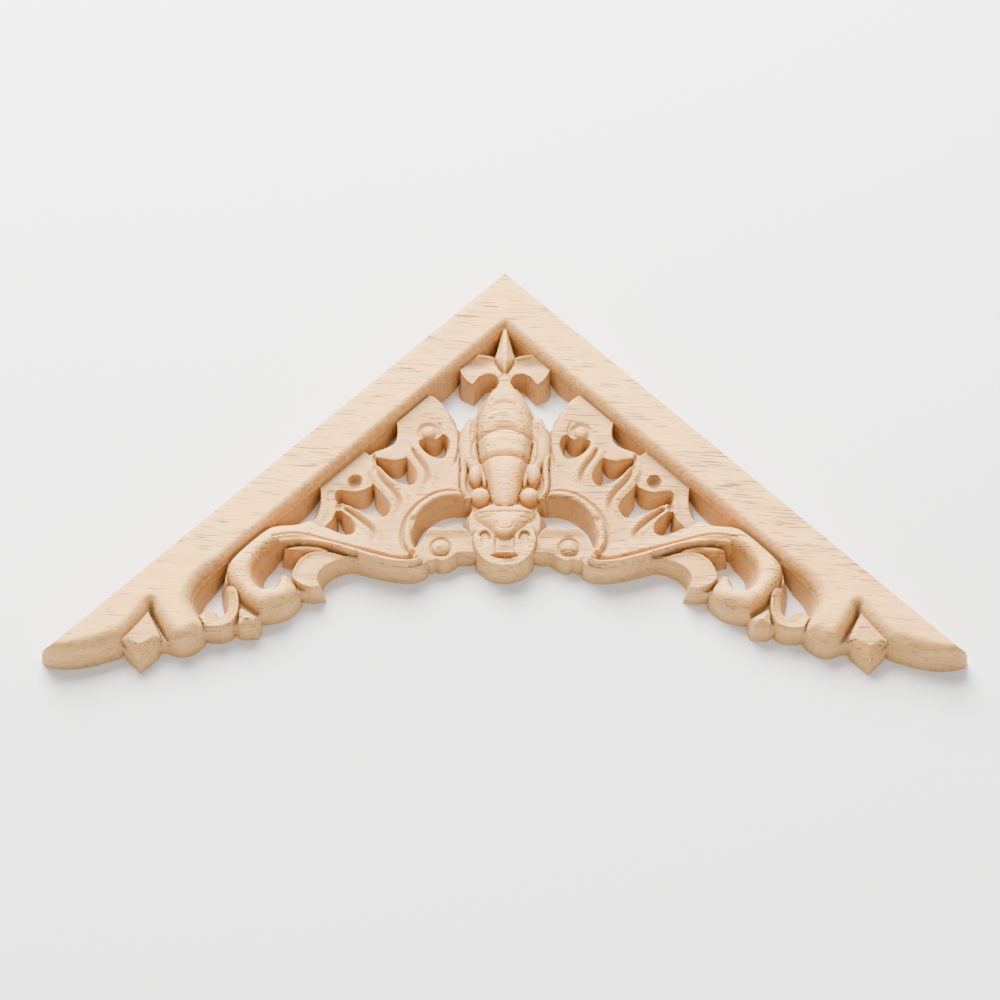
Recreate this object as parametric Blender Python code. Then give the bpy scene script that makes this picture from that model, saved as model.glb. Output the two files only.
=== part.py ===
"""A carved wooden corner onlay: a bat with spread wings and a coin, set in the corner of two flat rails.

One piece of wood. It lies on its flat back, with the relief up (+Z), the corner of the rails
towards +Y and the middle line on X = 0. The origin is on the back, in the middle of the back's box.

The carving is drawn on its right half, in drawn millimetres: x from the middle line, y from the
inner corner of the rails, heights from the back. place() and HEIGHT_SCALE turn drawn millimetres
into the real size, so that the carving always fits between the rails.
"""

import math

import bpy
import numpy as np
from mathutils import Vector
from mathutils.geometry import delaunay_2d_cdt

# Driving sizes, in metres.
LEG_LENGTH = 0.198          # outer edge of a rail on the top, from the corner to the tip
RAIL_WIDTH = 0.01485        # a rail's outer edge to its inner edge, on the top
THICKNESS = 0.012           # back to the flat top of the rails
RAIL_ROUND = 0.0030         # how far the rails' inner edges are rounded over
OUTER_DRAFT = math.radians(9.0)  # slope of the outer walls, wider at the back
SHARPEST = 0.4              # the foot of a sharper corner than this is blunted
STEEPER = 0.6               # a foot that is in the way of another is drawn in by this, again and again
ROOM_SHARE = 0.72           # how much of the way to the middle of a cut-out its walls may slope in
CUT_DRAFT = math.radians(18.5)   # slope of the walls in the cut-outs, where there is room for it

# The sizes that the pattern is drawn for, in drawn millimetres.
DRAWN_LEG = 198.0
DRAWN_RAIL = 14.85
DRAWN_THICKNESS = 12.0
DRAWN_CORNER = DRAWN_RAIL * math.sqrt(2.0)      # from the outer corner to the inner one

CARVING_SCALE = (LEG_LENGTH - RAIL_WIDTH) / (DRAWN_LEG - DRAWN_RAIL)
RAIL_SCALE = RAIL_WIDTH / DRAWN_RAIL
HEIGHT_SCALE = THICKNESS / DRAWN_THICKNESS

# Fineness of the faceted solid, in drawn millimetres.
CURVE_STEP = 0.5            # spacing on a smooth curve before it is thinned
CURVE_TOLERANCE = 0.14      # how far a thinned outline may leave its curve
LONGEST_CHORD = 6.0
RELIEF_TOLERANCE = 0.1      # facets this close to the relief are fine enough
INNER_POINTS = 1500         # at most this many points on the half's top, besides its edges
FIRST_ROUND = 60            # points added in each of the first rounds
GRID_STEP = 0.4             # the places that a point can take
GRID_MARGIN = 0.45          # how far they keep from the edges
WHOLE_HULL = 0              # Blender's triangulation gives back all triangles, outside ones too

SMOOTH_ANGLE = math.radians(35.0)
ROUND_END = 0.90            # how much of a quarter round a rounded edge has

TOP = DRAWN_THICKNESS
WING_LEVEL = 8.4
EAR_LEVEL = 7.5
PANEL_LEVEL = 7.4
VALLEY_LEVEL = 6.2


def rail_edge(x):
    """The point of a rail's straight inner edge at x."""
    return (x, -x)


def outer_edge(x):
    """The point of a rail's straight outer edge at x."""
    return (x, DRAWN_CORNER - x)


# The lower outline, from the tip of the rail to the foot of the coin, as smooth runs that meet
# at corners. A run starts where the one before it ends.
LOWER_RUNS = (
    (outer_edge(134.0), (138.2, -116.7), (140.8, -117.0)),
    ((141.4, -117.2), (141.1, -117.7)),
    ((138.6, -118.2), (135.4, -118.5), (132.0, -118.4), (127.2, -117.6), (122.8, -116.2), (117.2, -114.5)),
    ((114.5, -117.1), (111.8, -119.7)),
    ((109.1, -117.2), (106.4, -113.8)),
    ((104.6, -113.2), (101.8, -113.9), (99.2, -114.4), (96.8, -113.8), (94.6, -112.2), (92.6, -110.0)),
    ((90.4, -109.3), (87.4, -109.2), (85.2, -108.5), (83.4, -107.6)),
    ((80.6, -108.2), (77.0, -107.9)),
    ((76.4, -106.2), (75.5, -103.9)),
    ((73.4, -102.9), (70.6, -102.5), (68.0, -101.4), (65.6, -99.5), (64.2, -97.4), (63.6, -95.9)),
    ((60.6, -95.5), (57.4, -95.0)),
    ((58.2, -92.4), (57.7, -90.0), (55.4, -87.5), (52.0, -85.7), (48.6, -84.8), (45.0, -85.1),
     (40.6, -86.4), (35.6, -87.7), (31.4, -88.3), (28.0, -88.1), (25.4, -87.0)),
    ((24.2, -85.3), (23.0, -85.1), (21.4, -84.5), (19.8, -85.1), (18.2, -84.7), (16.4, -83.6),
     (14.8, -82.3), (12.4, -82.1), (9.0, -82.2)),
)
COIN_CENTRE = (0.0, -78.5)
COIN_RADIUS = 9.6

# The cut-outs of the right half, each a closed loop of runs. A loop of one run has no corner.
CUT_OUTS = {
    "beside the spike": (
        ((1.1, -1.1), rail_edge(9.2)),
        ((7.0, -9.7), (5.0, -10.0), (3.3, -10.8)),
        ((2.5, -7.5), (1.8, -4.2), (1.1, -1.1)),
    ),
    "between petal, body and upper ear": (
        ((2.0, -18.6), (3.0, -17.1), (4.8, -16.5), (6.9, -16.9), (8.8, -18.5), (10.5, -21.0)),
        ((12.1, -19.8), (13.8, -17.4), rail_edge(14.8)),
        (rail_edge(24.6),),
        ((22.4, -26.0), (20.8, -27.6), (19.4, -29.8), (18.3, -31.8), (17.5, -34.2), (15.9, -37.4)),
        ((13.3, -37.1),),
        ((12.4, -34.8), (11.0, -33.5), (9.7, -33.7), (8.6, -34.8)),
        ((7.9, -31.6), (6.9, -28.6), (5.6, -25.2), (4.1, -22.6), (2.5, -21.3), (1.8, -20.0), (2.0, -18.6)),
    ),
    "heart under the upper ear": (
        ((19.8, -39.4), (21.2, -40.3), (22.8, -41.0), (24.6, -41.0), (26.1, -40.7), (27.3, -41.5),
         (27.6, -43.2), (26.3, -45.4), (24.3, -47.3), (22.3, -48.3), (20.3, -48.6), (18.8, -47.6),
         (17.8, -45.3), (17.5, -42.8), (18.4, -40.4), (19.8, -39.4)),
    ),
    "between upper ear and rail": (
        (rail_edge(34.9), rail_edge(45.4)),
        ((44.3, -46.3), (43.4, -47.0)),
        ((40.4, -45.9), (37.8, -44.8), (35.8, -43.6), (34.7, -41.8), (34.3, -38.8), rail_edge(34.9)),
    ),
    "between first and second finger": (
        ((31.4, -48.1), (33.4, -48.9), (35.7, -49.2), (38.2, -48.7), (41.6, -48.1)),
        ((41.2, -50.0), (40.0, -51.9), (38.4, -53.9), (36.4, -55.9), (34.0, -57.6), (31.2, -58.5),
         (29.2, -58.3), (28.1, -57.1), (27.7, -55.2), (28.4, -52.7), (29.9, -50.3), (31.4, -48.1)),
    ),
    "between second and third finger": (
        ((41.9, -57.6), (43.3, -59.2), (45.3, -60.1), (48.3, -60.3), (51.0, -59.9), (52.8, -59.9),
         (53.8, -61.2), (53.8, -63.2), (53.0, -65.0)),
        ((51.4, -65.3), (47.6, -67.3), (45.0, -68.6), (42.3, -69.8), (40.0, -70.3), (37.8, -69.9),
         (36.4, -68.3), (35.9, -66.4), (36.6, -64.4), (38.2, -62.2), (40.3, -59.8), (41.9, -57.6)),
    ),
    "heart under the third finger": (
        ((52.2, -67.3), (50.1, -69.3), (48.5, -70.7), (47.2, -72.6), (46.7, -74.6), (47.2, -76.2),
         (48.6, -77.1), (50.3, -77.2), (52.4, -76.4), (54.6, -75.3), (56.9, -74.2)),
        ((56.1, -73.0), (54.8, -71.2), (53.9, -69.0), (53.3, -67.2)),
        ((52.2, -67.3),),
    ),
    "between lower ear and rail": (
        (rail_edge(58.6), rail_edge(73.6)),
        ((71.4, -73.4), (68.4, -73.1), (65.4, -72.8), (62.9, -72.5), (60.4, -71.2), (59.0, -69.6),
         (58.3, -67.0), (58.0, -64.4), (58.2, -61.4), rail_edge(58.6)),
    ),
    "inside the scroll": (
        ((68.6, -80.4), (71.2, -80.7), (74.0, -82.5), (76.5, -85.4), (78.2, -88.8), (78.3, -91.9),
         (77.0, -94.8), (75.0, -96.2), (72.6, -96.3), (70.9, -95.1), (70.1, -93.0), (69.4, -90.6)),
        ((67.8, -90.9), (66.2, -91.6)),
        ((65.7, -89.8), (65.0, -87.6), (63.8, -85.6), (62.2, -84.2)),
        ((64.6, -83.1), (66.8, -83.1), (68.5, -82.3), (68.9, -81.3), (68.6, -80.4)),
    ),
    "between scroll, hook and rail": (
        (rail_edge(86.0), rail_edge(89.6)),
        ((92.6, -92.7), (94.6, -95.3), (96.0, -98.2), (96.2, -101.0), (95.3, -103.4), (94.3, -105.0)),
        ((92.6, -103.0), (91.2, -102.3), (89.9, -103.0), (89.2, -104.4), (87.9, -105.0), (86.4, -104.3),
         (85.4, -102.8), (85.2, -100.4), (85.6, -97.4), (86.3, -94.0), (86.7, -90.5), rail_edge(86.0)),
    ),
    "half moon beside the head": (
        ((10.6, -64.8), (12.4, -63.7), (14.6, -63.1), (17.6, -63.0), (20.1, -63.6), (22.7, -64.9),
         (25.2, -66.9), (27.2, -69.5), (28.5, -72.5), (29.2, -75.6), (29.2, -78.4), (28.2, -80.9)),
        ((26.7, -79.3), (25.5, -77.3), (24.6, -75.6), (23.2, -74.1), (21.8, -73.8), (20.1, -74.2),
         (18.7, -74.6), (17.3, -74.2), (15.9, -73.5), (14.4, -73.4), (12.8, -74.1), (11.3, -75.4),
         (10.5, -76.6)),
        ((11.0, -73.5), (11.1, -71.0), (10.6, -68.5), (10.2, -66.4), (10.6, -64.8)),
    ),
}

# Where the flat rail with its lobes ends towards the carving. The outline is closed far outside.
RAIL_FIELD = (
    (-100.0, -100.0), (0.0, 0.0), rail_edge(89.6), (92.6, -92.7), (94.6, -95.3), (96.0, -98.2),
    (96.2, -101.0), (95.3, -103.4), (93.9, -105.8), (92.6, -108.2), (92.6, -110.0), (94.6, -112.2),
    (96.8, -113.8), (99.2, -114.4), (101.6, -113.7), (104.4, -110.8), (106.6, -107.2), (108.8, -103.4),
    (111.0, -106.6), (113.8, -110.4), (117.2, -114.0), (122.8, -116.2), (127.2, -117.6), (132.0, -118.5),
    (135.4, -118.6), (138.6, -118.3), (141.1, -118.0), (150.0, -117.6), (150.0, 200.0), (-100.0, 200.0),
)
RAIL_SLACK = 0.25           # points on the rail's edge, and this far beyond it, belong to the rail
LOBE_START = 88.0           # the rail's edge is rounded more from here to the lobes
LOBE_ROUND = (4.0, 4.8)     # width and depth of the lobes' rounding
TIP_START = 128.0           # the rounding narrows from here to the tip
TIP_ROUND = 2.6
TIP_DROP = 3.4              # how far the top falls at the tip's end
TIP_END = (136.0, 142.5)    # where it falls
RAIL_ROUND_DEPTH = 4.0


def spline(points):
    """A smooth curve through a few points, as many close points (centripetal Catmull-Rom)."""
    points = np.array(points, dtype=float)
    if len(points) == 2:
        count = max(2, int(np.linalg.norm(points[1] - points[0]) / CURVE_STEP) + 1)
        share = np.linspace(0.0, 1.0, count)[:, None]
        return points[0] * (1.0 - share) + points[1] * share
    closed = np.allclose(points[0], points[-1])
    before = points[-2] if closed else 2.0 * points[0] - points[1]
    after = points[1] if closed else 2.0 * points[-1] - points[-2]
    knots = np.vstack([before, points, after])
    curve = []
    for p0, p1, p2, p3 in zip(knots[:-3], knots[1:-2], knots[2:-1], knots[3:]):
        t1 = math.sqrt(np.linalg.norm(p1 - p0))
        t2 = t1 + math.sqrt(np.linalg.norm(p2 - p1))
        t3 = t2 + math.sqrt(np.linalg.norm(p3 - p2))
        count = max(2, int(np.linalg.norm(p2 - p1) / CURVE_STEP) + 1)
        t = np.linspace(t1, t2, count, endpoint=False)[:, None]
        a1 = (t1 - t) / t1 * p0 + t / t1 * p1
        a2 = (t2 - t) / (t2 - t1) * p1 + (t - t1) / (t2 - t1) * p2
        a3 = (t3 - t) / (t3 - t2) * p2 + (t - t2) / (t3 - t2) * p3
        b1 = (t2 - t) / t2 * a1 + t / t2 * a2
        b2 = (t3 - t) / (t3 - t1) * a2 + (t - t1) / (t3 - t1) * a3
        curve.append((t2 - t) / (t2 - t1) * b1 + (t - t1) / (t2 - t1) * b2)
    curve.append(points[-1:])
    return np.vstack(curve)


def join_runs(runs, closed):
    """Chain smooth runs into one line, with the place of each corner kept."""
    line = []
    start = runs[-1][-1] if closed else None
    for run in runs:
        points = list(run) if start is None or tuple(run[0]) == tuple(start) else [start] + list(run)
        line.append(spline(points)[:-1])
        start = run[-1]
    line.append(np.array([start], dtype=float))
    return line


def segment_distance(x, y, a, b):
    """Distance of points to one straight segment, and how far along it the nearest point is."""
    direction = b - a
    length_squared = max(float(direction @ direction), 1e-12)
    share = np.clip(((x - a[0]) * direction[0] + (y - a[1]) * direction[1]) / length_squared, 0.0, 1.0)
    distance = np.hypot(x - a[0] - share * direction[0], y - a[1] - share * direction[1])
    return distance, share


def path_distance(x, y, path, reach):
    """Distance of points to a path, and the share of its length there. Beyond reach it is not measured."""
    path = np.asarray(path, dtype=float)
    distance = np.full(x.shape, np.inf)
    share = np.zeros(x.shape)
    low = path.min(axis=0) - reach
    high = path.max(axis=0) + reach
    near = (x > low[0]) & (x < high[0]) & (y > low[1]) & (y < high[1])
    if not near.any():
        return distance, share
    steps = np.linalg.norm(np.diff(path, axis=0), axis=1)
    starts = np.concatenate([[0.0], np.cumsum(steps)])
    best = np.full(int(near.sum()), np.inf)
    best_share = np.zeros(best.shape)
    for index in range(len(path) - 1):
        gap, part = segment_distance(x[near], y[near], path[index], path[index + 1])
        closer = gap < best
        best[closer] = gap[closer]
        best_share[closer] = (starts[index] + part[closer] * steps[index]) / starts[-1]
    distance[near] = best
    share[near] = best_share
    return distance, share


def is_inside(x, y, loop):
    """Which points lie inside a closed loop."""
    inside = np.zeros(x.shape, dtype=bool)
    for a, b in zip(loop, np.roll(loop, -1, axis=0)):
        crosses = (a[1] > y) != (b[1] > y)
        if crosses.any():
            at = a[0] + (y[crosses] - a[1]) * (b[0] - a[0]) / (b[1] - a[1])
            inside[crosses] ^= x[crosses] < at
    return inside


def depth_inside(x, y, loop):
    """Distance to a closed loop, positive inside it and negative outside."""
    loop = np.asarray(loop, dtype=float)
    closed = np.vstack([loop, loop[:1]])
    distance, _ = path_distance(x, y, closed, 400.0)
    return np.where(is_inside(x, y, loop), distance, -distance)


def ease(value, low, high):
    """A soft step from 0 at low to 1 at high."""
    t = np.clip((value - low) / (high - low), 0.0, 1.0)
    return t * t * (3.0 - 2.0 * t)


def round_over(distance, width, depth):
    """How far a rounded edge has dropped at a distance in from it."""
    t = ROUND_END * np.clip(1.0 - distance / width, 0.0, 1.0)
    return depth * (1.0 - np.sqrt(1.0 - t * t)) / (1.0 - math.sqrt(1.0 - ROUND_END ** 2))


def blend(under, over, share):
    """Mix two heights."""
    return under + (over - under) * share


def add_stroke(z, x, y, points, half_width, rise, fade=0.15):
    """Raise (or cut, with a negative rise) a rounded stroke that fades at both ends."""
    path = spline(points)
    distance, share = path_distance(x, y, path, 3.0 * half_width)
    across = np.clip(1.0 - (distance / half_width) ** 2, 0.0, 1.0)
    ends = ease(share, 0.0, fade) * ease(1.0 - share, 0.0, fade)
    return z + rise * across * ends


def set_ridge(z, x, y, points, half_width, height, foot, start=0.0, end=0.0):
    """Lay a half-round ridge of a set height over what is there. start and end taper its ends."""
    path = spline(points)
    distance, share = path_distance(x, y, path, 3.0 * half_width)
    taper = 1.0 - start * (1.0 - ease(share, 0.0, 0.25)) - end * ease(share, 0.75, 1.0)
    width = half_width * taper
    ridge = foot + (height - foot) * np.sqrt(np.clip(1.0 - (distance / width) ** 2, 0.0, 1.0))
    return np.where(distance < width, np.maximum(z, ridge), z)


def set_bead(z, x, y, centre, radii, height, foot):
    """Lay a half-round oval bead over what is there."""
    distance = np.hypot((x - centre[0]) / radii[0], (y - centre[1]) / radii[1])
    bead = foot + (height - foot) * np.sqrt(np.clip(1.0 - distance ** 2, 0.0, 1.0))
    return np.where(distance < 1.0, np.maximum(z, bead), z)


LIP = ((26.4, -86.0), (28.6, -87.0), (32.0, -87.1), (36.0, -86.5), (40.6, -85.3), (45.0, -84.0),
       (50.0, -82.3), (55.0, -80.7), (60.0, -79.7), (65.0, -79.3), (70.0, -79.8))
LIP_GROOVE = ((28.6, -83.6), (30.4, -85.0), (34.0, -85.2), (38.0, -84.4), (44.0, -82.6),
              (50.0, -80.8), (57.0, -78.8), (63.0, -77.9), (68.0, -77.9), (71.5, -78.6))
MOON_RIM = ((11.3, -63.6), (14.4, -62.2), (17.6, -62.0), (20.5, -62.6), (23.3, -64.0), (26.0, -66.2),
            (28.3, -69.2), (29.7, -72.4), (30.4, -75.8), (30.3, -79.0), (29.4, -81.6), (27.8, -84.0))
LOWER_EAR = ((41.4, -47.6), (44.0, -43.0), (62.0, -61.0), (62.0, -71.0), (57.5, -74.4), (53.0, -69.0),
             (53.0, -63.0), (42.0, -58.4))
# Each finger of the wing is a groove between two soft ridges.
FINGER_GROOVES = (
    ((30.3, -44.6), (28.4, -47.4), (26.3, -50.5), (24.8, -53.3), (24.3, -56.0), (25.2, -59.0)),
    ((41.6, -49.6), (40.6, -53.2), (38.4, -57.0), (35.6, -60.2), (33.6, -63.6), (33.2, -66.6), (34.2, -70.0)),
    ((51.4, -66.4), (47.8, -69.0), (44.2, -72.0), (41.4, -75.0), (40.8, -77.6), (42.0, -80.0)),
)


def wing(x, y):
    """The wing: a soft hollow skin with grooved fingers, a rim round the half moon and a raised lip."""
    z = np.full(x.shape, WING_LEVEL)
    to_lip, _ = path_distance(x, y, spline(LIP), 30.0)
    z = z + 1.7 * ease(12.0 - to_lip, 0.0, 11.0) * ease(x, 30.0, 46.0)
    lower_ear = ease(depth_inside(x, y, LOWER_EAR), -0.6, 0.6)
    z = blend(z, EAR_LEVEL, lower_ear)
    z = z - 0.7 * np.exp(-(((x - 19.5) / 5.0) ** 2 + ((y + 55.0) / 6.0) ** 2))
    z = z - 0.6 * np.exp(-(((x - 35.0) / 4.0) ** 2 + ((y + 77.0) / 5.0) ** 2))
    for groove in FINGER_GROOVES:
        z = add_stroke(z, x, y, groove, 3.2, 0.7)
        z = add_stroke(z, x, y, groove, 0.9, -1.9)
    z = add_stroke(z, x, y, MOON_RIM, 2.6, -0.7)
    z = set_ridge(z, x, y, MOON_RIM, 1.2, 9.9, 7.6, start=0.4, end=0.3)
    return ears(z, x, y)


def ears(z, x, y):
    """The two cloud-headed ears: an eye knob in a ring on the upper one, a gouged pit on the lower."""
    knob = np.hypot(x - 24.5, y + 38.8)
    z = z - 0.9 * np.clip(1.0 - ((knob - 2.8) / 0.8) ** 2, 0.0, 1.0)
    z = set_bead(z, x, y, (24.5, -38.8), (2.3, 2.3), 9.7, 7.8)
    pit = np.hypot(x - 47.6, y + 56.6)
    return z - 2.8 * np.sqrt(np.clip(1.0 - (pit / 2.3) ** 2, 0.0, 1.0))


SCROLL_OUTER = ((56.0, -73.6), (60.5, -71.4), (65.4, -72.8), (71.4, -73.4), rail_edge(74.5), rail_edge(85.0),
                (86.6, -88.5), (86.4, -91.4), (85.0, -94.9), (82.6, -98.0), (80.6, -100.6),
                (77.8, -102.6), (75.4, -103.8), (70.6, -102.5), (67.2, -101.0), (64.9, -98.6),
                (64.1, -96.2), (64.7, -93.6), (66.2, -91.4))
SCROLL_INNER = ((69.4, -90.4), (70.1, -93.0), (70.9, -95.1), (72.6, -96.3), (75.0, -96.2),
                (77.0, -94.8), (78.3, -91.9), (78.2, -88.8), (76.5, -85.4), (74.0, -82.5),
                (71.2, -80.7), (68.0, -80.2), (64.0, -80.1), (60.0, -80.5), (54.0, -81.9),
                (47.0, -84.2))


def scroll(z, x, y):
    """The fat round-nosed scroll at the wing's end, which grows out of the wing's lower edge."""
    outer = spline(SCROLL_OUTER)
    inner = spline(SCROLL_INNER)
    body = depth_inside(x, y, np.vstack([outer, inner]))
    to_outer, _ = path_distance(x, y, outer, 60.0)
    to_inner, _ = path_distance(x, y, inner, 60.0)
    to_tip = np.hypot(x - 67.6, y + 91.0)
    top = TOP - 2.0 * ease(10.0 - to_tip, 0.0, 9.0)
    nose = top - round_over(to_outer, 3.9, 5.2) - round_over(to_inner, 2.3, 3.2)
    share = ease(body, -0.4, 0.1) * ease(x, 54.0, 66.0)
    return np.where(body > -0.4, blend(z, nose, share), z)


def lip(z, x, y):
    """The thin raised lip along the wing's lower edge, with the groove above it."""
    path = spline(LIP_GROOVE)
    distance, share = path_distance(x, y, path, 5.0)
    width = blend(1.5, 0.5, ease(share, 0.15, 0.5))
    depth = blend(1.9, 0.5, ease(share, 0.15, 0.5))
    z = z - depth * np.clip(1.0 - (distance / width) ** 2, 0.0, 1.0)
    return set_ridge(z, x, y, LIP, 0.9, 11.2, 9.4, start=0.3)


LEAF = ((46.0, -83.9), (50.2, -83.9), (55.3, -83.0), (59.3, -82.9), (62.6, -84.3), (65.2, -87.8),
        (66.2, -91.2), (65.0, -93.2), (63.2, -95.4), (62.0, -97.5), (50.0, -97.5), (46.0, -87.0))
LEAF_FINGER = ((55.5, -82.7), (58.5, -81.9), (62.0, -81.6), (65.5, -81.8), (68.4, -82.2))
UNDER_LIP = ((47.5, -83.6), (54.0, -81.3), (60.0, -80.3), (65.0, -79.9), (69.5, -80.3), (69.5, -91.0),
             (66.4, -91.6), (63.4, -95.6), (60.0, -99.0), (47.0, -89.0))


def leaf(z, x, y):
    """The curled leaf that hangs under the wing, with a slim finger between it and the lip."""
    hollow = depth_inside(x, y, UNDER_LIP)
    z = blend(z, VALLEY_LEVEL, ease(hollow, -0.1, 0.5))
    plate = depth_inside(x, y, spline(LEAF + LEAF[:1])[:-1])
    level = 8.2 + 0.9 * ease(x, 46.0, 56.0)
    z = blend(z, level, ease(plate, -0.3, 0.3))
    return set_ridge(z, x, y, LEAF_FINGER, 1.05, 8.9, 6.4, start=0.5)


HOOK = ((83.3, -96.0), (87.4, -94.0), (90.0, -101.0), (96.4, -102.5), (96.2, -105.6), (93.6, -108.6),
        (90.0, -110.4), (85.4, -109.6), (83.2, -107.6), (82.1, -104.8), (81.9, -100.0))
HOOK_RIM = ((83.6, -96.6), (82.3, -100.0), (82.6, -104.6), (84.3, -107.6), (86.6, -109.0), (90.0, -109.1),
            (92.4, -107.8), (94.3, -105.4))
BUD = ((75.4, -105.4), (81.2, -101.9), (81.9, -103.6), (82.2, -110.0), (76.0, -110.0))
BESIDE_HOOK = ((74.6, -104.6), (80.6, -100.6), (85.2, -94.9), (88.0, -100.0), (94.0, -110.0), (93.4, -112.0),
               (76.0, -112.0))


def hook_and_bud(z, x, y):
    """The small hook that runs to the rail's lobe and the square bud beside it."""
    z = blend(z, VALLEY_LEVEL, ease(depth_inside(x, y, BESIDE_HOOK), -0.2, 0.4))
    hook = depth_inside(x, y, HOOK)
    to_rim, _ = path_distance(x, y, spline(HOOK_RIM), 12.0)
    z = blend(z, 9.1 - 0.7 * np.clip(to_rim, 0.0, 3.6), ease(hook, -0.3, 0.3))
    bud = depth_inside(x, y, BUD)
    crown = 8.3 + 0.5 * np.clip(bud, 0.0, 2.6)
    return blend(z, crown, ease(bud, -0.2, 0.4))


MOON_PANEL = ((8.0, -71.0), (30.0, -71.0), (28.0, -80.5), (25.6, -83.5), (24.8, -87.5), (8.0, -87.0))


def panel(z, x, y):
    """The low cloud-edged panel between coin and wing, with its round knob."""
    plate = depth_inside(x, y, MOON_PANEL)
    level = PANEL_LEVEL + 1.1 * ease(y, -76.8, -73.8)
    z = blend(z, level, ease(plate, -1.2, 0.6))
    ring = np.hypot(x - 20.1, y + 80.6)
    z = z - 0.5 * np.clip(1.0 - ((ring - 3.1) / 0.7) ** 2, 0.0, 1.0) * (y > -83.5)
    return set_bead(z, x, y, (20.1, -80.6), (2.8, 2.8), 9.3, 7.0)


COIN_FIELD_LEVEL = 8.1
COIN_RIM_LEVEL = 9.7


def coin(z, x, y):
    """The coin under the head: a broad ring, two curled loops and a lens-shaped slot."""
    radius = np.hypot(x - COIN_CENTRE[0], y - COIN_CENTRE[1])
    disc = blend(z, COIN_FIELD_LEVEL, ease(COIN_RADIUS + 0.2 - radius, -0.2, 0.2))
    ring = COIN_RIM_LEVEL - round_over(COIN_RADIUS + 0.1 - radius, 0.8, 0.9)
    disc = blend(disc, ring, ease(radius, 6.8, 7.3) * (radius < COIN_RADIUS + 0.2))
    loop = np.hypot((x - 5.2) / 2.5, (y + 78.6) / 4.6)
    disc = np.where(radius < 7.4, blend(disc, COIN_RIM_LEVEL - 0.2, ease(1.0 - loop, -0.04, 0.08)), disc)
    hollow = np.hypot((x - 5.8) / 1.1, (y + 79.4) / 2.9)
    disc = disc - 1.3 * ease(1.0 - hollow, 0.0, 0.45)
    bridge = ease(-y, 82.6, 83.1) * (radius < 7.2)
    disc = blend(disc, COIN_RIM_LEVEL - 0.1, bridge)
    slot = 1.0 - (x / 4.9) ** 2 - ((y + 84.0) / 1.15) ** 2
    return disc - 4.6 * ease(slot, 0.0, 0.30)


def head(z, x, y):
    """The bat's head above the coin: a broad brow that narrows to a round nose."""
    brow = ((-10.6, -67.6), (-4.0, -65.6), (4.0, -65.6), (10.9, -67.6), (11.4, -70.2), (7.6, -73.4),
            (4.2, -75.6), (3.4, -77.3), (-3.4, -77.3), (-11.4, -70.2))
    body = depth_inside(x, y, brow)
    crown = 8.2 + 2.7 * ease(body, 0.0, 3.6) + 0.9 * np.exp(-(x / 2.4) ** 2)
    z = blend(z, crown, ease(body, -0.2, 0.2))
    nose = np.hypot(x / 3.4, (y + 73.6) / 3.6)
    bump = 8.0 + 3.9 * np.sqrt(np.clip(1.0 - nose ** 4, 0.0, 1.0))
    return np.where(nose < 1.0, np.maximum(z, bump), z)


# Half-width and height of the bat's body along its length, from the collar to the tail end.
BODY_PROFILE = (
    (-20.5, 2.2, 8.0), (-22.6, 4.0, 9.2), (-25.2, 5.6, 10.0), (-28.6, 6.9, 10.6), (-31.6, 7.9, 11.4),
    (-35.0, 8.7, 11.5), (-38.0, 8.9, 11.2), (-42.5, 8.8, 11.9), (-48.4, 8.0, 11.4), (-52.0, 7.0, 11.6),
    (-56.0, 5.9, 11.3), (-60.5, 4.9, 10.9), (-63.5, 4.2, 10.5), (-65.6, 3.0, 10.0), (-66.8, 0.6, 9.0),
)
BODY_SIDE_LEVEL = 7.4
BODY_GROOVES = (
    ((-5.8, -31.2), (-3.0, -29.1), (0.0, -28.6), (3.0, -29.1), (5.8, -31.2)),
    ((-8.8, -42.0), (-5.4, -40.2), (0.0, -39.0), (5.4, -40.2), (8.8, -42.0)),
    ((-8.2, -50.6), (-5.9, -49.6), (0.0, -48.9), (5.9, -49.6), (8.2, -50.6)),
)


def body(z, x, y):
    """The bat's bulging body in three segments, from the collar down to the pointed tail end."""
    place_y, width, crest = (np.array(column) for column in zip(*BODY_PROFILE))
    half = np.interp(-y, -place_y, width)
    high = np.interp(-y, -place_y, crest)
    within = (y < place_y[0]) & (y > place_y[-1])
    share = np.clip(x / half, 0.0, 1.0)
    bulge = BODY_SIDE_LEVEL + (high - BODY_SIDE_LEVEL) * (1.0 - share ** 2.3) ** 0.72
    z = np.where(within & (x < half), bulge, z)
    for groove in BODY_GROOVES:
        z = add_stroke(z, x, y, groove, 0.9, -1.1, fade=0.02)
    return z


ARM = ((10.7, -35.3), (10.9, -39.3), (11.1, -43.3), (10.7, -47.4), (9.8, -51.4))
STRAP = ((14.0, -47.6), (13.2, -50.4), (13.2, -54.4), (13.5, -58.4), (12.9, -61.6), (11.8, -63.2))
BESIDE_BODY = ((7.0, -31.0), (15.0, -31.0), (15.2, -39.0), (14.6, -47.0), (14.6, -59.0), (13.6, -63.0),
               (11.0, -65.6), (10.5, -68.4), (4.0, -67.6), (3.0, -59.0), (6.0, -41.0))


def arms(z, x, y):
    """The folded arm beside the body, its bead, the round eye bead and the strap along the wing."""
    valley = depth_inside(x, y, BESIDE_BODY)
    z = np.where(valley > -0.4, blend(z, 7.2, ease(valley, -0.4, 0.6)), z)
    z = set_ridge(z, x, y, ARM, 2.3, 9.8, 7.2)
    z = set_ridge(z, x, y, STRAP, 1.0, 9.4, 7.2, start=0.3)
    z = set_bead(z, x, y, (9.3, -55.4), (2.4, 3.9), 10.1, 7.2)
    return set_bead(z, x, y, (7.9, -62.8), (3.2, 3.1), 10.4, 7.0)


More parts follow.
